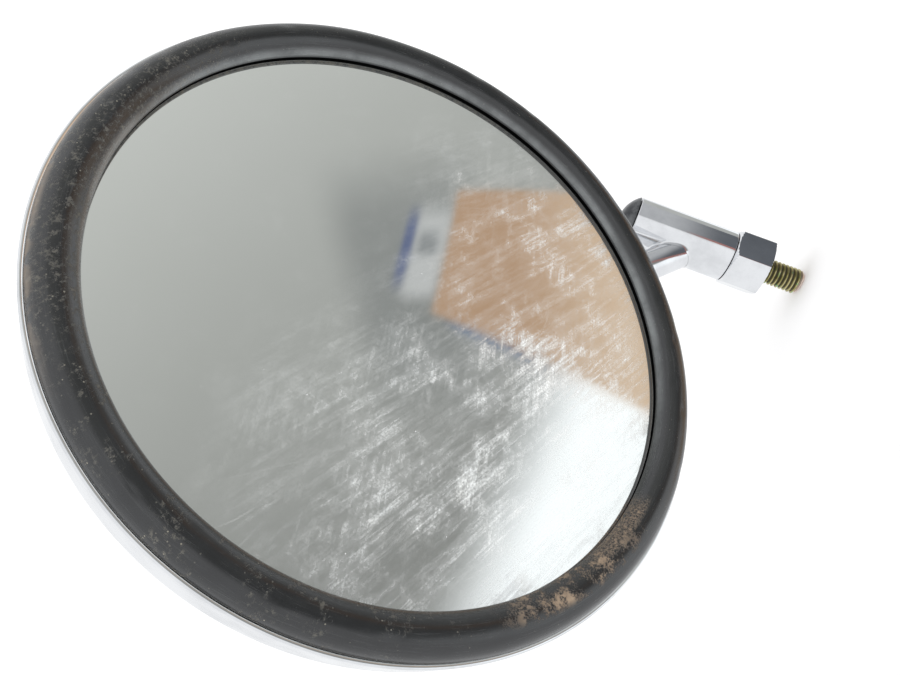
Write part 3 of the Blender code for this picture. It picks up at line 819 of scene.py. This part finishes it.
def build_shell():
    half = SHELL_WALL / 2
    rolled = circle_points((SHELL_RADIUS - half, SHELL_RIM - half), (half, half), 0, 180, 14)
    line = np.concatenate([[(SOCKET_OUTSIDE, SHELL_FLOOR)], bowl(0, 60), rolled, bowl(SHELL_WALL, 60)[::-1],
                           [(SOCKET_OUTSIDE, SHELL_FLOOR + SHELL_WALL), (SOCKET_OUTSIDE, SHELL_FLOOR)]])
    line = refine(line, 0.0012)[:-1]
    ring = np.exp(-((line[:, 0] - RING_RADIUS) / RING_WIDTH) ** 2)
    inner = line[:, 0] < SHELL_RADIUS - 0.02
    line[:, 1] += np.where(inner, RING_HEIGHT * ring, 0)
    sides = 288
    local = spin(line, sides)
    angle = (2 * np.pi * np.arange(sides) / sides)[None, :]
    ripple = 0.00003 * np.sin(5 * angle + line[:, :1] * 180) * np.sin(9 * angle - 1.0)
    outer = ((line[:, 0] > FLOOR_RADIUS) & (line[:, 0] < SHELL_RADIUS - 0.004))[:, None]
    local[..., 2] += np.where(outer, ripple, 0)
    values = {"round": follow(line, sides), "local": local * 100}
    piece = add_piece("shell_pressing", local @ HEAD.T + ball_place, True, values, 50)
    hand_over(piece, "head", "back_shell", chrome_worn)


build_shell()

# %% [markdown]
# ## The glass
#
# The glass is 3 mm thick and slightly convex, silvered on its back. Two surfaces reflect:
# the silver strongly, the bare front faintly. A glass body over a silver sheet would be the
# literal way, but it is slow to render and bakes badly. One mirror metal does the same job.
# What makes it look real is the dirt: a wiped film of dust, greasy swirls in the direction
# the cloth went, hair scratches and dried specks. Wherever there is dust, the surface turns
# from metal to chalk.

# %% Glass finish
def glass_finish():
    look = Finish("smeared_mirror")
    local = look.place(of="local")
    _, y, _ = look.parts(local)
    wander = look.times(look.sum("SUBTRACT", look.noise(local, 0.28, 3), 0.5), 5.0)
    lower = look.span(look.plus(y, wander), 2.2, -1.8)
    lowest = look.span(y, -1.5, -5.0)
    wipes = look.noise(look.place((2.4, 0.42, 1), WIPE_ANGLE, "local"), 1.0, 9, 0.75, 0.2)
    hairs = look.noise(look.place((2.0, 0.11, 1), WIPE_ANGLE + 4, "local"), 1.0, 4, 0.75, 0.2)
    arcs = look.noise(look.place((1.2, 0.12, 1), WIPE_ANGLE + 44, "local"), 1.0, 4, 0.75, 0.5)
    clouds = look.span(look.noise(local, 0.55, 8, 0.62, 0.3), 0.40, 0.62)
    puffs = look.span(look.noise(local, 1.3, 9, 0.72, 0.3), 0.42, 0.62)
    grains = look.span(look.noise(local, 22, 2, 0.6), 0.35, 0.65, 0.55, 1.0)
    brush = look.times(look.span(hairs, 0.40, 0.60, 0.22, 1.0), grains)
    cross = look.times(look.span(arcs, 0.42, 0.62, 0.20, 1.0), grains)
    strokes = look.times(look.span(wipes, 0.36, 0.64, 0.10, 1.0), brush)
    film = look.times(strokes, look.span(clouds, 0, 1, 0.30, 1.0), 0.62)
    swirl = look.times(puffs, look.span(clouds, 0, 1, 0.25, 1.0), cross, 0.50)
    film = look.times(lower, look.plus(film, swirl))
    haze = look.times(lowest, look.span(wipes, 0.30, 0.75, 0.05, 0.25), brush)
    film = look.plus(film, haze)
    faint = look.times(look.span(look.noise(local, 1.4, 6, 0.65, 0.4), 0.5, 0.8), 0.03)
    fleck = look.cells(local, 6.0)
    few = look.span(look.cells(local, 6.0, output="Color"), 0.78, 0.84)
    specks = look.times(look.span(fleck, 0.085, 0.055), few, look.span(lower, 0.0, 0.4, 0.15, 0.7))
    scratches = look.either(scratch_lines(look, WIPE_ANGLE + 26, 0.9),
                              scratch_lines(look, WIPE_ANGLE - 16, 1.3))
    scratches = look.times(scratches, look.span(lower, 0, 0.6, 0.02, 0.16))
    dust = look.either(look.either(look.plus(film, faint), scratches), specks)
    silver = look.mixed(look.noise(local, 0.25, 2), (0.80, 0.815, 0.80), (0.84, 0.855, 0.85))
    chalk = look.mixed(look.noise(local, 2.0, 3), (0.78, 0.83, 0.86), (0.90, 0.90, 0.87))
    rough = look.plus(0.04, look.times(film, 0.25))
    return look.set(base_color=look.mixed(dust, silver, chalk), roughness=rough,
                    metallic=look.span(dust, 0.0, 0.85, 1.0, 0.0, smooth=False))


def scratch_lines(look, degrees, scale):
    """Thin broken lines: the narrow valley of a stretched noise, kept only in patches."""
    value = look.noise(look.place((12.0, 0.8, 1), degrees, "local"), scale, 0, 0.4)
    off = look.sum("ABSOLUTE", look.sum("SUBTRACT", value, 0.52))
    patches = look.span(look.noise(look.place((2, 1, 1), degrees, "local"), 0.6, 3), 0.5, 0.62)
    return look.times(look.span(off, 0.006, 0.001), patches)


WIPE_ANGLE = -29.0
mirror_silver = glass_finish()

# %% Glass
GLASS_RADIUS = glass_reach[0]
LIP_RADIUS = 0.060
LIP_HEIGHT = 0.027
LIP_THICKNESS = 0.0006
GLASS_CURVE = 1.2
GLASS_THICKNESS = 0.003


def glass_height(radius):
    """A sphere's cap, flat enough to write as edge + (lip^2 - r^2) / (2 R)."""
    return LIP_HEIGHT - LIP_THICKNESS - 0.0003 + (LIP_RADIUS ** 2 - radius ** 2) / (2 * GLASS_CURVE)


def build_glass():
    radii = np.linspace(0, GLASS_RADIUS - 0.0004, 60)
    front = np.stack([radii, glass_height(radii)], axis=1)
    edge = [(GLASS_RADIUS, glass_height(GLASS_RADIUS) - 0.0004),
            (GLASS_RADIUS, glass_height(GLASS_RADIUS) - GLASS_THICKNESS + 0.0002)]
    back = np.stack([radii[::-6], glass_height(radii[::-6]) - GLASS_THICKNESS], axis=1)
    line = np.concatenate([front, edge, back, [(0, back[-1, 1])]])
    piece = head_turned("glass_disc", line, 240, crease=30)
    hand_over(piece, "head", "mirror_glass", mirror_silver)


build_glass()

# %% [markdown]
# ## Rubber that has weathered
#
# Black rubber reflects little, so what it shows is its gloss: a soft sheen on the bead.
# Weather adds a grey bloom, dust in the fine scuffs, crumbs of dried mud on the side that faced the road,
# and grime in the step by the glass. On the far side of the bead's inner face a pale line is a painted
# highlight. Below it a black crease is painted shade, and below that a lighter grey band on the lip is dust
# and a painted reflection. All three are found by their height. Scuffs run round the rim, so their noise
# reads the stored (cos, sin, distance) coordinates with a small scale round the rim and a large one across
# it, and there is no seam.

# %% Rubber finish
def sector(look, local, degrees, inner, outer):
    """A soft mask for the stretch of rim about an angle in the head's own frame.

    It is the cosine of the angle between each point and the stretch's middle.
    """
    x, y, _ = look.parts(local)
    radius = look.sum("POWER", look.plus(look.times(x, x), look.times(y, y)), 0.5)
    angle = np.radians(degrees)
    along = look.plus(look.times(x, float(np.cos(angle))), look.times(y, float(np.sin(angle))))
    low, high = np.cos(np.radians((outer, inner)))
    return look.span(look.sum("DIVIDE", along, radius), low, high)


def rubber_finish():
    look = Finish("weathered_rubber")
    local = look.place(of="local")
    x, y, z = look.parts(local)
    reach_out = look.sum("POWER", look.plus(look.times(x, x), look.times(y, y)), 0.5)
    inner_half = look.span(reach_out, 6.46, 6.30)
    scuffs = look.noise(look.place((0.11, 0.11, 0.03), of="round"), 1.0, 6, 0.65, 0.3)
    bloom = look.noise(local, 0.9, 5, 0.6)
    grain = look.noise(local, 30, 5, 0.7)
    mud_patch = look.times(sector(look, local, MUD_ANGLE, 4, 19), inner_half)
    streak = sector(look, local, MUD_ANGLE + 14, 3, 11)
    road_side = sector(look, local, ROAD_ANGLE, 14, 58)
    edge_mud = sector(look, local, EDGE_ANGLE, 12, 44)
    top_step = sector(look, local, TOP_ANGLE, 35, 75)
    black = look.mixed(look.span(bloom, 0.35, 0.7), (0.0035, 0.0044, 0.0062), (0.0085, 0.0096, 0.0115))
    haze = look.times(look.span(scuffs, 0.50, 0.80), look.span(bloom, 0.3, 0.6, 0.3, 1.0))
    grey = look.mixed(look.times(haze, 0.35), black, (0.085, 0.09, 0.09))
    crumbs = look.cells(local, 17.0)
    pick = look.cells(local, 17.0, output="Color")
    speck = look.times(look.span(crumbs, 0.27, 0.15), look.span(pick, 0.76, 0.82))
    clumps = look.span(look.noise(local, 1.6, 3), 0.46, 0.62)
    speck_side = look.span(look.either(road_side, edge_mud), 0, 1, 0.25, 0.9)
    speck = look.times(speck, look.span(clumps, 0, 1, 0.25, 1.0), speck_side)
    tan = look.mixed(look.noise(local, 9, 3), (0.20, 0.14, 0.09), (0.42, 0.31, 0.21))
    pale = look.mixed(look.noise(local, 6, 3), (0.20, 0.19, 0.15), (0.36, 0.33, 0.26))
    lumps = look.noise(local, 26.0, 6, 0.85)
    thick = look.noise(local, 2.6, 4, 0.6)
    heaped = look.plus(lumps, look.times(thick, 0.9))
    mud = look.times(look.span(heaped, 0.95, 1.08), mud_patch)
    streaks = look.times(look.span(lumps, 0.46, 0.56), streak, look.span(reach_out, 6.22, 6.12), 0.9)
    dried = look.times(look.span(look.noise(local, 8.0, 7, 0.8), 0.53, 0.63), clumps, road_side, 0.36)
    smear = look.times(look.span(look.noise(local, 9.0, 8, 0.85), 0.52, 0.64), edge_mud, 0.42)
    outside = look.span(reach_out, 6.58, 6.72)
    outer_edge = look.times(edge_mud, outside, look.span(thick, 0.4, 0.6), 0.45)
    mottle = look.span(look.noise(local, 7, 6, 0.8), 0.40, 0.66)
    grime = look.times(look.number("step"), mottle, top_step)
    tan_dirt = look.either(look.either(mud, streaks), outer_edge)
    pale_dirt = look.either(look.either(dried, speck), look.either(smear, look.times(grime, 0.8)))
    inside = look.span(reach_out, 6.22, 6.10)
    far_side = sector(look, local, TOP_ANGLE - 20, 100, 150)
    # painted highlight: a pale line high on the far side of the bead's inner face, where light would catch
    # it
    painted_highlight_line = look.times(inside, far_side, look.span(z, 2.90, 2.96), look.span(z, 3.16, 3.00))
    painted_highlight_line = look.times(painted_highlight_line, look.span(bloom, 0.3, 0.6, 0.35, 0.75))
    grey = look.mixed(painted_highlight_line, grey, (0.25, 0.265, 0.27))
    # painted shade: the crease low on the bead's inner face is painted black and loses its gloss, for the
    # shade in the step
    crease = look.times(inside, look.span(z, 2.745, 2.765), look.span(z, 2.90, 2.87))
    # dust and a painted reflection: a lighter grey band on the lip below the crease
    lip_dust_and_reflection = look.times(inside, look.span(z, 2.765, 2.745), 0.4)
    grey = look.mixed(lip_dust_and_reflection, grey, (0.09, 0.095, 0.095))
    colour = look.mixed(pale_dirt, look.mixed(tan_dirt, grey, tan), pale)
    colour = look.mixed(look.times(crease, 0.92), colour, (0.0015, 0.0015, 0.0015))
    dirt = look.either(tan_dirt, pale_dirt)
    rough = look.plus(look.span(haze, 0, 1, 0.25, 0.42), look.times(dirt, 0.5))
    rough = look.plus(rough, look.times(crease, 0.6))
    look.bumps(look.plus(look.times(grain, 0.22), look.times(dirt, 1.3)), 0.00006, 0.8)
    gloss = look.span(crease, 0, 1, 0.85, 0.0)
    return look.set(base_color=colour, roughness=rough, specular=gloss)


MUD_ANGLE = -127.0
ROAD_ANGLE = 160.0
EDGE_ANGLE = 104.0
TOP_ANGLE = 62.0
rubber = rubber_finish()
print("rubber finish ready")

# %% [markdown]
# ## The rubber rim
#
# The rim is one moulding: a thin lip over the glass, a shallow step, a fat round bead, and a
# foot gripped inside the shell. The bead is an arc of an ellipse in the profile. Moulded
# rubber that has been levered off and on is never quite round, so its height and width
# swell and shrink by a few tenths of a millimetre as it goes round, with small random nicks
# from a seeded list of bumps. A second number is stored at each point: how near it is to
# the step, so that grime can collect there.

# %% Rim
NICKS = 46
BEAD_CENTRE = (0.0636, LIP_HEIGHT + 0.0023)
RUBBER_FOOT = rim_reach[1]
RUBBER_OUTSIDE = SHELL_RADIUS - SHELL_WALL
BEAD_HALF = (RUBBER_OUTSIDE - BEAD_CENTRE[0], 0.0039)


def rim_profile():
    under = LIP_HEIGHT - LIP_THICKNESS
    back = glass_height(GLASS_RADIUS) - GLASS_THICKNESS - 0.0003
    lip = soften([(GLASS_RADIUS + 0.0003, under), (LIP_RADIUS + 0.0001, under), (LIP_RADIUS, LIP_HEIGHT),
                  (LIP_RADIUS + 0.0006, LIP_HEIGHT - 0.00005), (LIP_RADIUS + 0.0009, LIP_HEIGHT - 0.0002)],
                 0.00018)
    bead = circle_points(BEAD_CENTRE, BEAD_HALF, 222, 0, 64)
    rest = soften([bead[-1], (RUBBER_OUTSIDE, SHELL_SIDE), (RUBBER_OUTSIDE - 0.0012, RUBBER_FOOT),
                   (GLASS_RADIUS, RUBBER_FOOT),
                   (LIP_RADIUS + 0.0008, back - 0.0015), (LIP_RADIUS + 0.0004, back),
                   (GLASS_RADIUS + 0.0003, back), (GLASS_RADIUS + 0.0003, under)], 0.0004)
    return refine(np.concatenate([lip, bead[1:], rest[1:]]), 0.0006)[:-1]


def build_rim():
    line = rim_profile()
    sides = 480
    angle = 2 * np.pi * np.arange(sides) / sides
    local = spin(line, sides)
    raised = np.clip((line[:, 1] - LIP_HEIGHT - 0.0003) / 0.003, 0, 1)[:, None]
    swell = (0.00010 * np.sin(2 * angle + 0.6) + 0.00006 * np.sin(5 * angle + 2.1)
             + 0.00003 * np.sin(13 * angle + 4.0))[None, :]
    draw = np.random.default_rng(7)
    nicks = np.zeros_like(local[..., 2])
    across = line[:, 0][:, None]
    middles = draw.uniform(0, 2 * np.pi, NICKS)
    radii = draw.uniform(0.0612, 0.0668, NICKS)
    sizes = draw.uniform(0.0004, 0.0012, NICKS)
    depths = draw.uniform(0.00004, 0.00016, NICKS)
    for middle, radius, size, depth in zip(middles, radii, sizes, depths):
        around = (angle[None, :] - middle + np.pi) % (2 * np.pi) - np.pi
        nicks -= depth * np.exp(-((around * radius / (1.8 * size)) ** 2 + ((across - radius) / size) ** 2))
    local[..., 2] += raised * (swell - 0.00019) + np.where(raised > 0.2, nicks, 0)
    outward = (line[:, 0] - LIP_RADIUS)[:, None] * 0.010 * np.sin(3 * angle + 1.2)[None, :]
    radius = np.maximum(line[:, 0], 1e-9)[:, None]
    local[..., :2] *= (1 - raised * np.abs(outward) / radius)[..., None]
    near_step = np.exp(-((line[:, 0] - LIP_RADIUS - 0.0009) / 0.0009) ** 2)
    near_step *= np.exp(-((line[:, 1] - LIP_HEIGHT) / 0.0009) ** 2)
    values = {"round": follow(line, sides), "local": local * 100,
              "step": near_step[:, None] * np.ones(sides)[None, :]}
    piece = add_piece("rim_rubber", local @ HEAD.T + ball_place, True, values, 60)
    hand_over(piece, "head", "rubber_rim", rubber)
    return piece


rim_piece = build_rim()
rim_piece.visible_glossy = False  # its doubled image would hide the edge of the glass

# %% [markdown]
# ## The inner pieces keep their engineering shapes
#
# Washers, springs, nuts, the bush and the clamp plate are already the right shape. They only
# need their finishes, so each node's material is swapped by name.

# %% Finishes for the carried-over pieces
inner_finishes = {"friction_washer": fibre, "bush": bronze, "seat_ring": bronze, "ball_liner": nylon,
                  "backing_card": card}
for name, node in frame["nodes"].items():
    dress(node, inner_finishes.get(name, steel))
print("carried-over pieces dressed")

# %% [markdown]
# ## Camera, floor and light
#
# A pale floor and a bright even room make the kind of picture a seller takes on a white
# table. Chrome and mirror need something to reflect, though: in an all-white room they would
# vanish. So the room that lights and that the camera sees stays white, and reflections see
# another one, painted by direction. The camera comes first, because the room is painted in
# the glass's own picture: bouncing the camera's three directions off the flat of the glass
# gives the direction that the middle of the glass shows, and its picture's right and up.

# %% Camera
LENS_MM = 27.04
CAMERA_PLACE = (-0.18197, -0.14552, 0.06264)
CAMERA_RIGHT = (0.3538, -0.1467, -0.9238)
CAMERA_UP = (0.7189, -0.5891, 0.3689)


def build_camera():
    """Makes the camera and gives back its right, up and backward directions."""
    right = Vector(CAMERA_RIGHT).normalized()
    back = right.cross(Vector(CAMERA_UP)).normalized()
    up = back.cross(right)
    data = bpy.data.cameras.new("camera")
    data.lens = LENS_MM
    data.clip_start = 0.005
    camera = bpy.data.objects.new("camera", data)
    bpy.context.scene.collection.objects.link(camera)
    camera.matrix_world = Matrix.Translation(CAMERA_PLACE) @ Matrix((right, up, back)).transposed().to_4x4()
    bpy.context.scene.camera = camera
    return np.array(right), np.array(up), np.array(back)


def bounced(direction):
    """The mirror image v - 2 (v . n) n of a direction in the flat of the glass."""
    return direction - 2 * (direction @ head_axis) * head_axis


camera_right, camera_up, camera_back = build_camera()
SEEN = bounced(-camera_back)
SEEN_RIGHT = bounced(camera_right)
SEEN_UP = bounced(camera_up)
bpy.context.scene.view_settings.view_transform = "Standard"
print("the glass shows what lies along", np.round(SEEN, 3))

# %% Floor
floor_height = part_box("threaded_stud")[0].z - 0.0002


def build_floor():
    size = 6.0
    mesh = bpy.data.meshes.new("pale_floor")
    mesh.from_pydata([(-size, -size, floor_height), (size, -size, floor_height), (size, size, floor_height),
                      (-size, size, floor_height)], [], [(0, 1, 2, 3)])
    floor = bpy.data.objects.new("pale_floor", mesh)
    bpy.context.scene.collection.objects.link(floor)
    look = Finish("pale_floor")
    tone = look.noise(look.place(), 3.0, 3)
    paint = look.mixed(tone, (0.93, 0.925, 0.925), (0.95, 0.945, 0.95))
    dress(floor, look.set(base_color=paint, roughness=0.8))
    floor.visible_glossy = False


build_floor()


# %% Room
# Each shape has a strength, a colour (None is the brown sheet's own two browns) and the lines
# that bound it: across, upward, start and softness.
PICTURE = (
    # a dark corner of the room, then a window
    (0.55, (0.19, 0.205, 0.205), ((1, 0.20, -0.15, 0.05), (-1, 0, -0.06, 0.06), (0, 1, -0.10, 0.12),
                                  (0.25, -1, -0.30, 0.10))),
    (1.0, (1.20, 1.24, 1.26), ((0.926, -0.377, 0.225, 0.08),)),
    # the blue hem of a brown sheet, then the sheet
    (0.8, (0.10, 0.20, 0.36), ((1, -0.276, 0.01, 0.03), (0.36, 1, 0.008, 0.008), (-0.36, -1, -0.034, 0.006),
                               (-1, 0, -0.19, 0.03))),
    (1.0, None, ((1, -0.276, -0.034, 0.008), (0.105, -1, -0.262, 0.008), (0.36, 1, 0.022, 0.010))),
    # a pale box with an opening and a blue side
    (0.9, (0.60, 0.61, 0.61), ((1, -0.304, -0.100, 0.012), (-1, 0.304, 0.040, 0.012), (0, 1, 0.06, 0.02),
                               (0, -1, -0.225, 0.03))),
    (0.6, (0.12, 0.14, 0.15), ((1, -0.304, -0.090, 0.010), (-1, 0.304, 0.055, 0.012), (0, 1, 0.135, 0.015),
                               (0, -1, -0.180, 0.02))),
    (0.75, (0.09, 0.13, 0.30), ((1, -0.304, -0.119, 0.006), (-1, 0.304, 0.100, 0.006), (0, 1, 0.085, 0.03),
                                (0, -1, -0.215, 0.03))),
)


def build_room():
    """White for the camera, even for light, and a painted picture for reflections."""
    world = bpy.data.worlds.new("studio")
    bpy.context.scene.world = world
    world.use_nodes = True
    world.node_tree.nodes.clear()
    room = Network(world.node_tree)
    direction = room.node("ShaderNodeTexCoord").outputs["Generated"]

    def along(axis):
        made = room.node("ShaderNodeVectorMath", operation="DOT_PRODUCT")
        room.join(direction, made.inputs[0])
        made.inputs[1].default_value = tuple(axis)
        return made.outputs["Value"]

    depth = along(SEEN)
    safe = room.either(depth, 0.2)
    right = room.sum("DIVIDE", along(SEEN_RIGHT), safe)
    up = room.sum("DIVIDE", along(SEEN_UP), safe)

    def side(across, upward, start, soft):
        """Rises from 0 to 1 where across * right + upward * up passes start."""
        slope = room.plus(room.times(right, across), room.times(up, upward))
        return room.span(slope, start - soft, start + soft)

    fall = room.sum("SUBTRACT", room.times(right, 0.62), room.times(up, 0.78))
    tone = room.span(fall, -0.70, 0.26, 0.64, 0.29, smooth=False)
    grey = room.node("ShaderNodeCombineColor")
    room.join(tone, grey.inputs[0])
    room.join(room.times(tone, 1.02), grey.inputs[1])
    room.join(room.times(tone, 0.98), grey.inputs[2])
    wall = grey.outputs[0]
    tan = room.mixed(room.span(right, 0.10, 0.42), (0.52, 0.345, 0.225), (0.76, 0.58, 0.42))
    for strength, colour, sides in PICTURE:
        shape = room.times(*[side(*numbers) for numbers in sides])
        wall = room.mixed(room.times(shape, strength), wall, colour or tan)
    front = room.span(depth, 0.45, 0.70)
    picture = room.mixed(front, ROOM_TONE, wall)
    mirrored = room.node("ShaderNodeBackground")
    room.join(picture, mirrored.inputs["Color"])
    plain = room.node("ShaderNodeBackground")
    plain.inputs["Color"].default_value = (1, 1, 1, 1)
    plain.inputs["Strength"].default_value = 1.22
    choose = room.node("ShaderNodeMixShader")
    room.join(room.node("ShaderNodeLightPath").outputs["Is Glossy Ray"], choose.inputs["Fac"])
    room.join(plain.outputs[0], choose.inputs[1])
    room.join(mirrored.outputs[0], choose.inputs[2])
    room.join(choose.outputs[0], room.node("ShaderNodeOutputWorld").inputs["Surface"])


ROOM_TONE = (0.98, 0.99, 1.0)
build_room()


# %% A glowing card beside the foot, seen only in reflections
REFLECTION_CARD_REACH = 0.036


def build_reflection_card():
    """Part of an upright tube round the foot: it gives the chrome a dark band to reflect.

    Only reflections see it: it glows with its own colour, so its dark band is a painted reflection. It
    stays behind the plane of the glass, and its glow is lighter towards its top and has a red band along
    one edge.
    """
    count = 40
    angle = np.radians(np.linspace(-109, -44, count))[:, None]
    height = np.array([-0.035, 0.055])
    points = np.stack(np.broadcast_arrays(REFLECTION_CARD_REACH * np.cos(angle), REFLECTION_CARD_REACH * np.sin(angle), height),
                      axis=-1).reshape(-1, 3)
    index = 2 * np.arange(count - 1)[:, None]
    faces = index + np.array([0, 1, 3, 2])
    mesh = bpy.data.meshes.new("glowing_reflection_card")
    mesh.from_pydata(points.tolist(), [], faces.tolist())
    layer = mesh.attributes.new("across", "FLOAT", "POINT")
    layer.data.foreach_set("value", np.repeat(np.linspace(0, 1, count), 2).astype(np.float32))
    glow_card = bpy.data.objects.new("glowing_reflection_card", mesh)
    bpy.context.scene.collection.objects.link(glow_card)
    look = Finish("glowing_reflection_card")
    where = look.place()
    # painted reflection: a dark glow, lighter towards the top and with a red band, for the chrome to mirror
    glow_tone = look.mixed(look.noise(where, 60, 3), (0.09, 0.10, 0.115), (0.17, 0.18, 0.195))
    card_glow = look.mixed(look.span(look.parts(where)[2], 0.008, 0.034), glow_tone, (0.52, 0.53, 0.54))
    glow_red_band = look.times(look.span(look.number("across"), 0.115, 0.085), 0.75)
    glow_red_band = look.times(glow_red_band, look.span(look.parts(where)[2], 0.026, 0.014))
    card_glow = look.mixed(glow_red_band, card_glow, (0.50, 0.22, 0.19))
    look.put(card_glow, look.shader.inputs["Emission Color"])
    look.shader.inputs["Emission Strength"].default_value = 1.0
    dress(glow_card, look.set(base_color=(0.0, 0.0, 0.0), specular=0.0, roughness=1.0))
    glow_card.visible_camera = False
    glow_card.visible_diffuse = False
    glow_card.visible_shadow = False
    glow_card.visible_transmission = False


build_reflection_card()


# %% Lamps
def add_lamp(name, place, aim, size, power):
    data = bpy.data.lights.new(name, "AREA")
    data.shape = "DISK"
    data.size = size
    data.energy = power
    lamp = bpy.data.objects.new(name, data)
    bpy.context.scene.collection.objects.link(lamp)
    lamp.location = place
    lamp.rotation_euler = (Vector(aim) - Vector(place)).to_track_quat("-Z", "Y").to_euler()
    lamp.visible_glossy = False


add_lamp("key_lamp", (-0.55, -0.35, 0.75), (-0.09, -0.03, 0.08), 0.6, 1.6)
